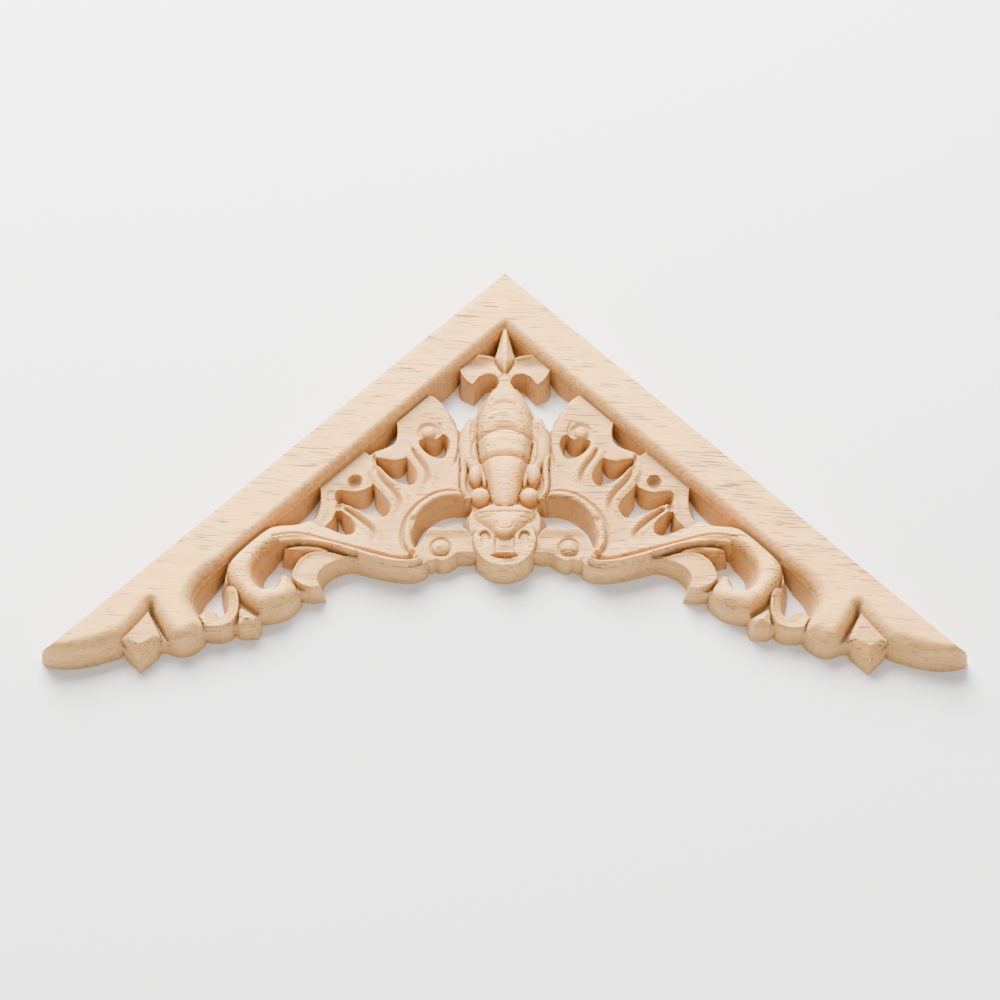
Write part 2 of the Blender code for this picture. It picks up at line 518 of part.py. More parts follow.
PETAL = ((0.0, -15.9), (0.9, -15.0), (2.1, -13.2), (3.1, -11.0), (5.0, -8.5), (9.5, -8.5), (16.0, -15.0),
         (12.5, -21.0), (10.0, -22.5), (5.0, -19.0), (2.6, -21.6), (0.0, -22.5), (-3.0, -19.0))
SPIKE_PROFILE = ((0.5, 1.0), (-4.2, 1.9), (-7.5, 2.7), (-10.6, 3.3), (-12.2, 2.8), (-14.2, 1.6),
                 (-16.4, 0.1))


def fleur(z, x, y):
    """The lily in the corner: two curled petals and a ridged spike between them."""
    plate = depth_inside(x, y, PETAL)
    level = 8.5 + 0.7 * np.exp(-((x - 8.5) / 4.5) ** 2 - ((y + 14.5) / 4.0) ** 2)
    z = blend(z, level, ease(plate, -0.2, 0.4))
    place_y, width = (np.array(column) for column in zip(*SPIKE_PROFILE))
    half = np.interp(-y, -place_y, width)
    within = (y < place_y[0]) & (y > place_y[-1]) & (x < half)
    ridge = 10.6 - 2.9 * np.clip(x / half, 0.0, 1.0) - 1.4 * ease(-y, 12.0, 16.4)
    return np.where(within, np.maximum(ridge, 7.6), z)


def rails(z, x, y):
    """The flat rails with their rounded inner edges, their lobes and the diamond leaf."""
    field = depth_inside(x, y, RAIL_FIELD)
    lobe = ease(x, LOBE_START, LOBE_START + 6.0)
    width = blend(RAIL_ROUND / RAIL_SCALE, LOBE_ROUND[0], lobe)
    width = blend(width, TIP_ROUND, ease(x, TIP_START, TIP_START + 10.0))
    depth = blend(RAIL_ROUND_DEPTH, LOBE_ROUND[1], lobe)
    flat = TOP - round_over(np.maximum(field, 0.0), width, depth) - TIP_DROP * ease(x, *TIP_END)
    on_rail = field > -RAIL_SLACK
    z = np.where(on_rail, flat, z)
    z = np.where(~on_rail & (x > BESIDE_DIAMOND), DIAMOND_VALLEY_LEVEL, z)
    return diamond(z, x, y)


DIAMOND = ((109.6, -103.6), (105.2, -112.6), (111.7, -120.2), (117.2, -113.3))
DIAMOND_EDGE_LEVEL = 8.7
DIAMOND_TOP_LEVEL = 9.8
DIAMOND_DROP = 2.6          # how far its edge falls towards its lower corner
BESIDE_DIAMOND = 99.0
DIAMOND_VALLEY_LEVEL = 6.2


def diamond(z, x, y):
    """The four-sided leaf in the notch between the rail's lobes."""
    facets = depth_inside(x, y, DIAMOND)
    edge = DIAMOND_EDGE_LEVEL - DIAMOND_DROP * ease(-y, 112.5, 119.5)
    leaf_top = np.minimum(edge + 0.7 * facets, DIAMOND_TOP_LEVEL)
    return np.where(facets > 0.0, np.maximum(z, leaf_top), z)


def relief(x, y):
    """Height of the carved top at each point of the right half."""
    z = wing(x, y)
    z = scroll(z, x, y)
    z = lip(z, x, y)
    z = leaf(z, x, y)
    z = hook_and_bud(z, x, y)
    z = panel(z, x, y)
    z = arms(z, x, y)
    z = coin(z, x, y)
    z = body(z, x, y)
    z = head(z, x, y)
    z = fleur(z, x, y)
    return rails(z, x, y)


def place(points):
    """Real plan places of drawn points, in metres from the inner corner of the rails.

    Along and across a rail, what lies on the rail's width follows the rail and the rest follows
    the carving, so a point on the rail's inner edge stays on it.
    """
    points = np.asarray(points, dtype=float)
    right = points[:, 0]
    up = points[:, 1]
    along = (right - up) / math.sqrt(2.0)
    across = (right + up) / math.sqrt(2.0)
    along = along * np.where(along > 0.0, CARVING_SCALE, RAIL_SCALE)
    across = across * np.where(across > 0.0, RAIL_SCALE, CARVING_SCALE)
    return np.column_stack([(across + along) / math.sqrt(2.0), (across - along) / math.sqrt(2.0)])


def heights(points):
    """Drawn heights of the relief at drawn points."""
    return relief(points[:, 0].copy(), points[:, 1].copy())


def thin(line, tolerance, longest):
    """Drop the points that a line doesn't need, in plan and in height, from a dense run."""
    solid = np.column_stack([line, heights(line)])
    keep = {0, len(line) - 1}
    spans = [(0, len(line) - 1)]
    while spans:
        first, last = spans.pop()
        if last - first < 2:
            continue
        chord = solid[last] - solid[first]
        share = np.linspace(0.0, 1.0, last - first + 1)[:, None]
        if np.linalg.norm(chord) > 1e-9:
            share = np.clip((solid[first:last + 1] - solid[first]) @ chord / (chord @ chord), 0.0, 1.0)[:, None]
        off = np.linalg.norm(solid[first:last + 1] - solid[first] - share * chord, axis=1)
        middle = first + int(np.argmax(off))
        if off.max() <= tolerance:
            if np.linalg.norm(chord) <= longest:
                continue
            middle = (first + last) // 2
        keep.add(middle)
        spans.extend([(first, middle), (middle, last)])
    return line[sorted(keep)]


def thin_runs(runs, closed=False):
    """One polygon line from smooth runs, each thinned between its corners."""
    chained = join_runs(runs, closed)
    parts = []
    for run, following in zip(chained[:-1], chained[1:]):
        full = np.vstack([run, following[:1]])
        parts.append(thin(full, CURVE_TOLERANCE, LONGEST_CHORD)[:-1])
    if not closed:
        parts.append(chained[-1])
    return np.vstack(parts)


def outline():
    """The edge of the right half, from the outer corner round the tip to the foot of the coin."""
    rail = thin(spline([(0.0, DRAWN_CORNER), LOWER_RUNS[0][0]]), CURVE_TOLERANCE, 3.0 * LONGEST_CHORD)
    lower = thin_runs(LOWER_RUNS)
    start = math.atan2(lower[-1][1] - COIN_CENTRE[1], lower[-1][0] - COIN_CENTRE[0])
    turn = np.linspace(start, -0.5 * math.pi, 12)[1:]
    arc = np.column_stack([COIN_RADIUS * np.cos(turn), COIN_CENTRE[1] + COIN_RADIUS * np.sin(turn)])
    arc[-1, 0] = 0.0
    # Turned round, so that the wood lies on the left of its outline.
    return np.vstack([rail[:-1], lower, arc])[::-1]


def signed_area(loop):
    """Area of a closed loop, positive when it runs anticlockwise."""
    following = np.roll(loop, -1, axis=0)
    return 0.5 * float(np.sum(loop[:, 0] * following[:, 1] - following[:, 0] * loop[:, 1]))


def cut_out_loops():
    """The closed loops of the cut-outs, clockwise, so that the wood lies on their left too."""
    loops = []
    for runs in CUT_OUTS.values():
        loop = thin_runs(runs, closed=True)
        loops.append(loop if signed_area(loop) < 0.0 else loop[::-1])
    return loops


def open_grid(edge, cuts):
    """Places on the right half's top, on a fine square grid, that keep clear of every edge."""
    columns = np.arange(GRID_MARGIN, edge[:, 0].max(), GRID_STEP)
    rows = np.arange(edge[:, 1].min(), edge[:, 1].max(), GRID_STEP)
    x, y = (grid.ravel() for grid in np.meshgrid(columns, rows, indexing="ij"))
    kept = is_inside(x, y, edge)
    x, y = x[kept], y[kept]
    gap = np.full(x.shape, np.inf)
    hidden = np.zeros(x.shape, dtype=bool)
    for loop in [edge] + cuts:
        distance, _ = path_distance(x, y, np.vstack([loop, loop[:1]]), GRID_MARGIN + GRID_STEP)
        gap = np.minimum(gap, distance)
    for cut in cuts:
        hidden |= is_inside(x, y, cut)
    kept = ~hidden & (gap > GRID_MARGIN)
    return np.column_stack([x[kept], y[kept]])


def worst_places(points, triangles, height, samples, wanted):
    """For each triangle the sample that it misses by most, and by how much."""
    order = np.argsort(samples[:, 0], kind="stable")
    sorted_x = samples[order, 0]
    places = []
    misses = []
    for corners in triangles:
        (ax, ay), (bx, by), (cx, cy) = points[corners]
        first, last = np.searchsorted(sorted_x, [min(ax, bx, cx), max(ax, bx, cx)])
        near = order[first:last]
        near_y = samples[near, 1]
        near = near[(near_y > min(ay, by, cy)) & (near_y < max(ay, by, cy))]
        if not len(near):
            continue
        x, y = samples[near, 0] - ax, samples[near, 1] - ay
        area = (bx - ax) * (cy - ay) - (cx - ax) * (by - ay)
        u = (x * (cy - ay) - y * (cx - ax)) / area
        v = (y * (bx - ax) - x * (by - ay)) / area
        inside = (u >= 0.0) & (v >= 0.0) & (u + v <= 1.0)
        if not inside.any():
            continue
        near, u, v = near[inside], u[inside], v[inside]
        a, b, c = height[corners]
        miss = np.abs(wanted[near] - (a + u * (b - a) + v * (c - a)))
        worst = int(np.argmax(miss))
        places.append(near[worst])
        misses.append(miss[worst])
    return np.array(places, dtype=int), np.array(misses)


def inner_points(edge, seam, cuts, loops):
    """Points on the right half's top. Each round adds the places that the facets miss by most."""
    samples = open_grid(edge, cuts)
    wanted = heights(samples)
    chosen = []
    while len(chosen) < INNER_POINTS:
        points = np.vstack([edge, seam] + cuts + [samples[chosen]])
        places, misses = worst_places(points, triangulate(points, loops), heights(points), samples, wanted)
        places = places[np.argsort(-misses, kind="stable")]
        share = max(FIRST_ROUND, len(chosen) // 3)
        added = [place for place in places[:share] if place not in chosen]
        if not added or misses.max() < RELIEF_TOLERANCE:
            break
        chosen.extend(added[:INNER_POINTS - len(chosen)])
    return samples[chosen]


def triangulate(points, loops):
    """Triangles between given points, with every loop's sides kept, inside the wood only.

    The first loop is the outer edge and the others are holes. Along a straight edge the rounding of
    the points can leave slivers outside it, so triangles without width are dropped.
    """
    sides = []
    for loop in loops:
        sides.extend(zip(loop, loop[1:] + loop[:1]))
    found = delaunay_2d_cdt([Vector(point) for point in points], sides, [], WHOLE_HULL, 1e-9, True)
    origin = [source[0] for source in found[3]]
    triangles = np.array([[origin[corner] for corner in face] for face in found[2]])
    middle = points[triangles].mean(axis=1)
    kept = is_inside(middle[:, 0], middle[:, 1], points[loops[0]])
    for hole in loops[1:]:
        kept &= ~is_inside(middle[:, 0], middle[:, 1], points[hole])
    a, b, c = points[triangles[:, 0]], points[triangles[:, 1]], points[triangles[:, 2]]
    area = (b[:, 0] - a[:, 0]) * (c[:, 1] - a[:, 1]) - (c[:, 0] - a[:, 0]) * (b[:, 1] - a[:, 1])
    longest = np.max([np.sum((a - b) ** 2, axis=1), np.sum((b - c) ** 2, axis=1), np.sum((c - a) ** 2, axis=1)],
                     axis=0)
    kept &= np.abs(area) > 1e-6 * longest
    triangles[area < 0.0] = triangles[area < 0.0][:, ::-1]
    return triangles[kept]


def unit(vectors):
    """Vectors of length one."""
    return vectors / np.maximum(np.linalg.norm(vectors, axis=1), 1e-12)[:, None]


def wall_reach(loop, before, after, height, draft, everything):
    """Which way each point of a wall's top edge leaves the wood, and how far its foot lies out there.

    The foot stays short of the middle of the cut-out, so walls in a narrow cut never meet.
    """
    first = unit(loop - before)
    second = unit(after - loop)
    first_out = np.column_stack([first[:, 1], -first[:, 0]])
    second_out = np.column_stack([second[:, 1], -second[:, 0]])
    facing = np.sum(first_out * second_out, axis=1)
    miter = (first_out + second_out) / np.maximum(1.0 + facing, SHARPEST)[:, None]
    direction = unit(miter)
    reach = height * math.tan(draft) * np.linalg.norm(miter, axis=1)
    for index, point in enumerate(loop):
        way = everything - point
        ahead = way @ direction[index]
        seen = ahead > 1e-7
        if seen.any():
            room = np.min(np.sum(way[seen] ** 2, axis=1) / (2.0 * ahead[seen]))
            reach[index] = min(reach[index], ROOM_SHARE * room)
    return direction, reach


def side_of(a, b, points):
    """On which side of the line from a to b points lie."""
    return np.sign((b[0] - a[0]) * (points[:, 1] - a[1]) - (b[1] - a[1]) * (points[:, 0] - a[0]))


def tangled_points(feet):
    """Which points of the foot loops belong to sides that cross each other."""
    starts = np.vstack(feet)
    ends = np.vstack([np.roll(foot, -1, axis=0) for foot in feet])
    sizes = [len(foot) for foot in feet]
    offsets = np.concatenate([[0], np.cumsum(sizes)])
    following = np.concatenate([np.roll(np.arange(offsets[k], offsets[k + 1]), -1) for k in range(len(feet))])
    tangled = np.zeros(len(starts), dtype=bool)
    for index in range(len(starts)):
        a, b = starts[index], ends[index]
        apart = side_of(a, b, starts) * side_of(a, b, ends) < 0.0
        for other in np.nonzero(apart)[0]:
            c, d = starts[other], ends[other]
            ours = side_of(c, d, np.array([a, b]))
            shared = {index, following[index]} & {other, following[other]}
            if ours[0] * ours[1] < 0.0 and not shared:
                tangled[[index, following[index], other, following[other]]] = True
    return tangled


def wall_feet(loops, height_loops, everything):
    """The foot loops of all walls. Where sides would cross at a tight corner, the wall stands steeper."""
    ways = []
    for number, (line, height) in enumerate(zip(loops, height_loops)):
        before, after = np.roll(line, 1, axis=0), np.roll(line, -1, axis=0)
        if number == 0:
            # The outer edge ends on the middle line, where its mirror image carries on.
            before[0] = line[1] * (-1.0, 1.0)
            after[-1] = line[-2] * (-1.0, 1.0)
        draft = OUTER_DRAFT if number == 0 else CUT_DRAFT
        ways.append(wall_reach(line, before, after, height, draft, everything))
    while True:
        feet = [line + direction * reach[:, None] for line, (direction, reach) in zip(loops, ways)]
        feet[0][[0, -1], 0] = 0.0
        tangled = tangled_points(feet)
        if not tangled.any():
            return feet
        start = 0
        for direction, reach in ways:
            mask = tangled[start:start + len(reach)]
            reach[mask] *= STEEPER
            start += len(reach)


def build_mesh():
    """Vertices and faces of the right half: carved top, sloping walls and flat back."""
    edge = outline()
    cuts = cut_out_loops()
    seam = thin(spline([edge[-1], edge[0]]), CURVE_TOLERANCE, LONGEST_CHORD)[1:-1]
    seam[:, 0] = 0.0
    loops = [list(range(len(edge) + len(seam)))]
    start = len(edge) + len(seam)
    for cut in cuts:
        loops.append(list(range(start, start + len(cut))))
        start += len(cut)
    top = np.vstack([edge, seam] + cuts + [inner_points(edge, seam, cuts, loops)])
    top_faces = triangulate(top, loops)

    top_height = heights(top) * HEIGHT_SCALE
    top_place = place(top)
    wall_points = np.vstack([top_place[:len(edge)], top_place[:len(edge)] * (-1.0, 1.0)]
                            + [top_place[loop] for loop in loops[1:]])
    wall_loops = [loops[0][:len(edge)]] + loops[1:]
    feet = wall_feet([top_place[loop] for loop in wall_loops], [top_height[loop] for loop in wall_loops],
                     wall_points)
    back = np.vstack(feet)
    back_loops = []
    start = 0
    for foot in feet:
        back_loops.append(list(range(start, start + len(foot))))
        start += len(foot)
    back_faces = triangulate(back, back_loops)[:, ::-1]

    middle = 0.5 * (back[:, 1].max() + back[:, 1].min())
    base = len(top)
    vertices = [(x, y - middle, z) for (x, y), z in zip(top_place, top_height)]
    vertices += [(x, y - middle, 0.0) for x, y in back]
    faces = [tuple(face) for face in top_faces]
    faces += [tuple(base + corner for corner in face) for face in back_faces]
    for number, (loop, back_loop) in enumerate(zip(wall_loops, back_loops)):
        sides = len(loop) - 1 if number == 0 else len(loop)
        for index in range(sides):
            following = (index + 1) % len(loop)
            a, b = loop[index], loop[following]
            c, d = base + back_loop[following], base + back_loop[index]
            faces.append((b, a, d))
            faces.append((b, d, c))
    return vertices, faces


def wood():
    """Pale raw hardwood, unfinished."""
    material = bpy.data.materials.new("raw_wood")
    material.use_nodes = True
    shader = material.node_tree.nodes["Principled BSDF"]
    shader.inputs["Base Color"].default_value = (0.74, 0.53, 0.36, 1.0)
    shader.inputs["Roughness"].default_value = 0.7
    shader.inputs["Metallic"].default_value = 0.0
    return material


def corner_onlay():
    """The whole onlay: its right half, mirrored."""
    vertices, faces = build_mesh()
    mesh = bpy.data.meshes.new("corner_onlay")
    mesh.from_pydata([tuple(map(float, vertex)) for vertex in vertices], [],
                     [tuple(map(int, face)) for face in faces])
    mesh.validate()
    mesh.shade_smooth()
    mesh.set_sharp_from_angle(angle=SMOOTH_ANGLE)
    mesh.materials.append(wood())
    onlay = bpy.data.objects.new("corner_onlay", mesh)
    bpy.context.scene.collection.objects.link(onlay)
    mirror = onlay.modifiers.new("left half", "MIRROR")
    mirror.use_axis = (True, False, False)
    mirror.use_mirror_merge = True
    mirror.merge_threshold = 0.00001
    return onlay


for old in list(bpy.data.objects):
    bpy.data.objects.remove(old, do_unlink=True)
corner_onlay()
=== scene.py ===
"""Looks of the carved wooden corner onlay: a bat with a coin, set in the corner of two flat rails.

The onlay is one piece of raw wood. Its right half is drawn in drawn millimetres: x from the middle
line, y from the inner corner of the rails, heights from the back. The finished mesh is brought to
the CAD node's box, so the looks never change the size.
"""

import logging
import math
from dataclasses import dataclass, field
from enum import Enum

import bpy
import numpy as np
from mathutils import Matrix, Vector
from mathutils.geometry import delaunay_2d_cdt


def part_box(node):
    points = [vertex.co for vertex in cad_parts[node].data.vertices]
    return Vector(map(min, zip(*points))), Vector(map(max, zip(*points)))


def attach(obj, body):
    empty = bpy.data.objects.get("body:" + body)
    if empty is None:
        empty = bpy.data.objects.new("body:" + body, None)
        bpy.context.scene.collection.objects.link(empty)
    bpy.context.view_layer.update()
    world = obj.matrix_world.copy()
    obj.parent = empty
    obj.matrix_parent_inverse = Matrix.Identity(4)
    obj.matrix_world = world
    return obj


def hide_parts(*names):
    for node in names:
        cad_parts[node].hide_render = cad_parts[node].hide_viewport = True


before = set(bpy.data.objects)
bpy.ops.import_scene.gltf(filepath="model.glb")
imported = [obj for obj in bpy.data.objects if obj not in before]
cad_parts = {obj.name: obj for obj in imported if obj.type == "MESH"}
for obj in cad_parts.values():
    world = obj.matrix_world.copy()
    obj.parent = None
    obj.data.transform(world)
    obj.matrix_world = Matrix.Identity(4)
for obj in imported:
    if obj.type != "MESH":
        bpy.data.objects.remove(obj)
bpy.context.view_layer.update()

LOG = logging.getLogger("corner_onlay")

Array = np.ndarray
Masks = dict[str, Array]
Socket = bpy.types.NodeSocket
Triple = tuple[float, float, float]
Value = float | tuple[float, ...] | Socket
Point = tuple[float, float]
Path = tuple[Point, ...]
Runs = tuple[Path, ...]
Pair = tuple[float, float]                  # two sizes
Oval = tuple[Point, Pair]                   # centre and radii
Spot = tuple[Point, Pair, float]            # centre, radii, and depth or height

RAIL_WIDTH = 14.85                          # drawn millimetres, on the top
CORNER = RAIL_WIDTH * math.sqrt(2.0)        # from the inner corner of the rails to the outer one
TOP = 12.0                                  # drawn height of the flat rails
CURVE_STEP = 0.4                            # spacing on a smooth curve
ROUND_ARC = math.asin(0.90)                 # a rounded edge is this much of a circle
TINY = 1e-12                                # stands in for a length of zero in a division
MARKS = ("ribs", "tooled", "shade")         # masks beside the heights: cross ribs, gouge marks and painted shade


# Lines that a cut-out's edge shares with the carving beside it.
SCROLL_EYE: Path = (
    (70.1, -93.0), (70.9, -95.1), (72.6, -96.3), (75.0, -96.2), (77.0, -94.8), (78.3, -91.9),
    (78.2, -88.8), (76.5, -85.4), (74.0, -82.5), (71.2, -80.7),
)
LOBE_ABOVE: Path = ((92.6, -92.7), (94.6, -95.3), (96.0, -98.2), (96.2, -101.0), (95.3, -103.4))
LOBE_BELOW: Path = ((92.6, -110.0), (94.6, -112.2), (96.8, -113.8), (99.2, -114.4), (101.8, -113.9))


class Sides(Enum):
    """Which sides of a stroke its soft edge is meant for."""

    BOTH = "both"
    ABOVE = "above"


def rail_edge(x: float) -> Point:
    """Return the point of the rail's straight inner edge at x."""
    return (x, -x)


def outer_edge(x: float) -> Point:
    """Return the point of the rail's straight outer edge at x."""
    return (x, CORNER - x)


def spline(points: Path, step: float = CURVE_STEP) -> Array:
    """Run a smooth curve through a few points (centripetal Catmull-Rom).

    Args:
        points: The control points. A first point that equals the last closes the curve.
        step: Spacing of the points that come back.

    Returns:
        An array of close points.
    """
    knots = np.array(points, dtype=float)
    if len(knots) == 2:
        count = max(2, int(np.linalg.norm(knots[1] - knots[0]) / step) + 1)
        share = np.linspace(0.0, 1.0, count)[:, None]
        return knots[0] * (1.0 - share) + knots[1] * share
    closed = np.allclose(knots[0], knots[-1])
    before = knots[-2] if closed else 2.0 * knots[0] - knots[1]
    after = knots[1] if closed else 2.0 * knots[-1] - knots[-2]
    knots = np.vstack([before, knots, after])
    curve = []
    for p0, p1, p2, p3 in zip(knots[:-3], knots[1:-2], knots[2:-1], knots[3:]):
        t1 = math.sqrt(np.linalg.norm(p1 - p0))
        t2 = t1 + math.sqrt(np.linalg.norm(p2 - p1))
        t3 = t2 + math.sqrt(np.linalg.norm(p3 - p2))
        count = max(2, int(np.linalg.norm(p2 - p1) / step) + 1)
        t = np.linspace(t1, t2, count, endpoint=False)[:, None]
        a1 = (t1 - t) / t1 * p0 + t / t1 * p1
        a2 = (t2 - t) / (t2 - t1) * p1 + (t - t1) / (t2 - t1) * p2
        a3 = (t3 - t) / (t3 - t2) * p2 + (t - t2) / (t3 - t2) * p3
        b1 = (t2 - t) / t2 * a1 + t / t2 * a2
        b2 = (t3 - t) / (t3 - t1) * a2 + (t - t1) / (t3 - t1) * a3
        curve.append((t2 - t) / (t2 - t1) * b1 + (t - t1) / (t2 - t1) * b2)
    curve.append(knots[-2:-1])
    return np.vstack(curve)


def path_distance(x: Array, y: Array, path: Array, reach: float) -> tuple[Array, Array]:
    """Measure how far places are from a path.

    Args:
        x: Places across the pattern.
        y: Places up the pattern.
        path: Close points of the path.
        reach: Beyond this distance nothing is measured.

    Returns:
        The distance of each place, and the share of the path's length at its nearest point.
    """
    distance = np.full(x.shape, np.inf)
    share = np.zeros(x.shape)
    low = path.min(axis=0) - reach
    high = path.max(axis=0) + reach
    near = (x > low[0]) & (x < high[0]) & (y > low[1]) & (y < high[1])
    if not near.any():
        return distance, share
    near_x, near_y = x[near], y[near]
    steps = np.linalg.norm(np.diff(path, axis=0), axis=1)
    starts = np.concatenate([[0.0], np.cumsum(steps)])
    best = np.full(near_x.shape, np.inf)
    best_share = np.zeros(near_x.shape)
    for index, (a, b) in enumerate(zip(path[:-1], path[1:])):
        way = b - a
        part = ((near_x - a[0]) * way[0] + (near_y - a[1]) * way[1]) / max(float(way @ way), TINY)
        part = np.clip(part, 0.0, 1.0)
        gap = (near_x - a[0] - part * way[0]) ** 2 + (near_y - a[1] - part * way[1]) ** 2
        closer = gap < best
        best[closer] = gap[closer]
        best_share[closer] = (starts[index] + part[closer] * steps[index]) / starts[-1]
    distance[near] = np.sqrt(best)
    share[near] = best_share
    return distance, share


def nearest(x: Array, y: Array, loops: list[Array]) -> Array:
    """Measure how far places are from the nearest of some closed loops, up to a millimetre.

    Args:
        x: Places across the pattern.
        y: Places up the pattern.
        loops: Close points of each loop.

    Returns:
        The distances, infinite where no loop is near.
    """
    gap = np.full(x.shape, np.inf)
    for loop in loops:
        distance, _ = path_distance(x, y, np.vstack([loop, loop[:1]]), 1.0)
        gap = np.minimum(gap, distance)
    return gap


def unit(vectors: Array) -> Array:
    """Return vectors of length one."""
    return vectors / np.maximum(np.linalg.norm(vectors, axis=1), TINY)[:, None]


def leftward(ways: Array) -> Array:
    """Turn directions a quarter to the left."""
    return np.column_stack([-ways[:, 1], ways[:, 0]])


def beside(line: Array, gap: float) -> Array:
    """Shift a line sideways, to its left for a positive gap."""
    return line + gap * leftward(unit(np.gradient(line, axis=0)))


def is_inside(x: Array, y: Array, loop: Array) -> Array:
    """Tell which places lie inside a closed loop.

    Args:
        x: Places across the pattern.
        y: Places up the pattern.
        loop: Points of the loop.

    Returns:
        True for each place inside.
    """
    inside = np.zeros(x.shape, dtype=bool)
    for a, b in zip(loop, np.roll(loop, -1, axis=0)):
        crosses = (a[1] > y) != (b[1] > y)
        if crosses.any():
            at = a[0] + (y[crosses] - a[1]) * (b[0] - a[0]) / (b[1] - a[1])
            inside[crosses] ^= x[crosses] < at
    return inside


def depth_inside(x: Array, y: Array, loop: Array, reach: float = 12.0) -> Array:
    """Measure how deep places lie inside a closed loop.

    Args:
        x: Places across the pattern.
        y: Places up the pattern.
        loop: Points of the loop.
        reach: Beyond this distance from the loop nothing is measured.

    Returns:
        The depth of each place, negative outside the loop.
    """
    distance, _ = path_distance(x, y, np.vstack([loop, loop[:1]]), reach)
    inside = np.zeros(x.shape, dtype=bool)
    near = np.isfinite(distance)
    inside[near] = is_inside(x[near], y[near], loop)
    return np.where(inside, distance, -distance)


def ease(value: Array, low: float, high: float) -> Array:
    """Step softly from 0 at low to 1 at high."""
    t = np.clip((value - low) / (high - low), 0.0, 1.0)
    return t * t * (3.0 - 2.0 * t)


def round_over(distance: Array, width: Array | float, depth: Array | float) -> Array:
    """Tell how far a rounded edge has dropped at a distance in from it."""
    t = math.sin(ROUND_ARC) * np.clip(1.0 - distance / width, 0.0, 1.0)
    return depth * (1.0 - np.sqrt(1.0 - t * t)) / (1.0 - math.cos(ROUND_ARC))


def oval(x: Array, y: Array, centre: Point, radii: Pair) -> Array:
    """Return the distance from an oval's centre, 1 on its edge."""
    return np.hypot((x - centre[0]) / radii[0], (y - centre[1]) / radii[1])


@dataclass(frozen=True)
class Stroke:
    """A rounded stroke along a path, raised or, with a negative rise, cut.

    half_width runs from its middle to its edge. fade is the share of its length over which each end
    runs out. Where sides is ABOVE, sweep bends the half above the path, and the half below it is only
    sharp_share as wide.
    """

    path: Path
    half_width: float
    rise: float
    fade: float = 0.15
    sides: Sides = Sides.BOTH
    sharp_share: float = 0.3
    sweep: float = 1.6


@dataclass(frozen=True)
class Ridge:
    """A half-round ridge along a path, its crest and foot measured from the back.

    start and end tell by what share it is narrower where it begins and ends.
    """

    path: Path
    half_width: float
    height: float
    foot: float
    start: float = 0.0
    end: float = 0.0


